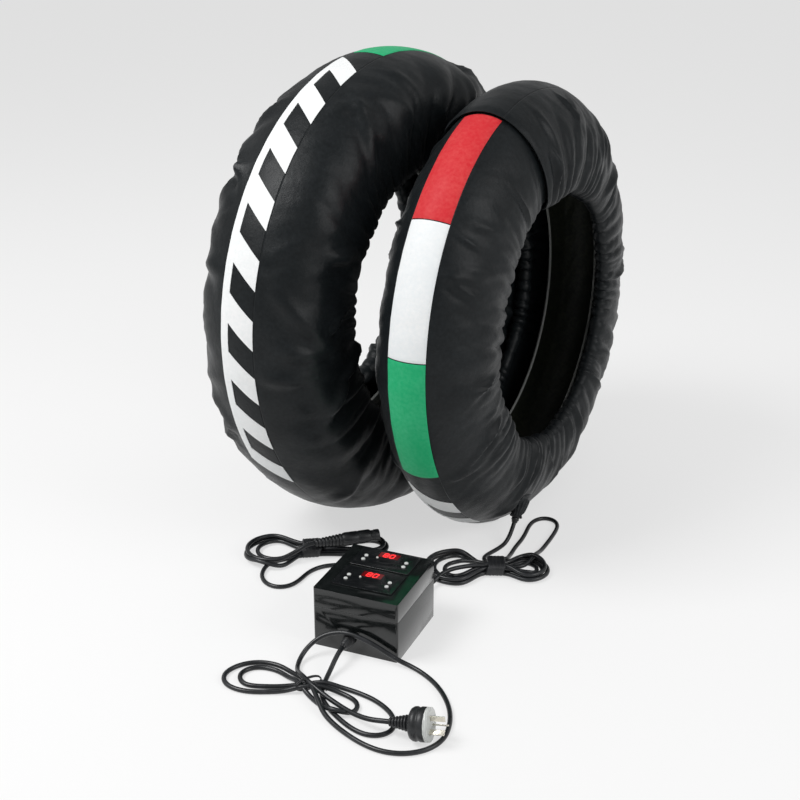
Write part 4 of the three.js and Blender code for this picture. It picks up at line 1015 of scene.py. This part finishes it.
def make_segments(name, middle, text):
    """Lit digits: each segment is a thin bar with pointed ends, on the display's window."""
    width, height, thick, slant = 5.4, 8.6, 1.25, 0.12
    level = {"a": (0, 1, 0), "d": (0, -1, 0), "g": (0, 0, 0)}
    spots = {**level, "b": (1, 0.5, 1), "c": (1, -0.5, 1), "e": (-1, -0.5, 1), "f": (-1, 0.5, 1)}
    points, faces = [], []
    for place, digit in enumerate(text):
        for letter in SEGMENTS[digit]:
            sx, sy, upright = spots[letter]
            long = (height / 2 if upright else width) / 2 - 0.25
            point = thick / 2
            bar = np.array([(-long, 0), (-long + point, point), (long - point, point), (long, 0),
                            (long - point, -point), (-long + point, -point)])
            bar = bar[:, ::-1] * (1, -1) if upright else bar
            bar = bar + (sx * width / 2, sy * height / 2)
            bar[:, 0] += slant * bar[:, 1] + (place - 0.5) * (width + 3)
            base = len(points)
            for z in (0, 0.35):
                points += [(middle[0] + x, middle[1] + y, middle[2] + z) for x, y in bar]
            faces += [[base + i, base + (i + 1) % 6, base + 6 + (i + 1) % 6, base + 6 + i] for i in range(6)]
            faces += [[base + 6, base + 7, base + 10, base + 11], [base + 7, base + 8, base + 9, base + 10]]
            faces += [[base + 5, base + 4, base + 1, base], [base + 4, base + 3, base + 2, base + 1]]
    piece = make_piece(name, in_box(np.array(points)), np.array(faces), None, 30)
    return dress(piece, digit_red, "red_display")


def make_button(channel, number, x, y):
    """Push button: a round stem with a flange under the panel and a domed cap."""
    name = f"{channel}_button_{number}"
    profile = [(0, 77.9), (3.6, 77.9), (3.6, 79.1), (2.6, 79.2), (2.6, 82.4), (2.45, 82.8), (2.0, 83.15),
               (1.2, 83.3), (0, 83.35)]
    start = in_box([(x, y, 0)])[0]
    cap = lathe(f"{name}_cap", profile, start, (0, 0, 1), 28)
    dress(cap, button_plastic, "button_plastic", name, body=name)


def make_control_box():
    length, depth, height = BOX_SIZE
    dress(softened("box_base", "case_base", 0.0008), case_plastic, "case_plastic", "box_base")
    dress(softened("box_lid", "case_lid", 0.0008), case_plastic, "case_plastic", "box_lid")
    finish_node("power_board", board_green)
    for channel, y in BEZELS.items():
        bezel = softened(f"{channel}_controller", f"{channel}_bezel", 0.0006)
        dress(bezel, panel_plastic, "panel_plastic", f"{channel}_controller")
        finish_node(f"{channel}_board", board_green)
        finish_node(f"{channel}_display", window_red)
        make_segments(f"{channel}_digits", (length / 2, y + 12, height + 1.1), "80")
        places = [(row, column) for row in (-8, 2) for column in (-27.5, 27.5)]
        for number, (row, column) in enumerate(places, 1):
            make_button(channel, number, length / 2 + column, y + row)
        lamp = [(0, 1.4), (1.5, 1.4), (1.5, 2.3), (1.2, 2.9), (0.6, 3.25), (0, 3.35)]
        spot = in_box([(length / 2 - 12, y + 1.5, height)])[0]
        dress(lathe(f"{channel}_lamp", lamp, spot, (0, 0, 1), 20), lamp_plastic, "button_plastic")
    make_relief("mains_relief", 49, 0, -1)
    make_relief("rear_lead_relief", 30, depth, 1)
    make_relief("front_lead_relief", 82, depth, 1)


make_control_box()
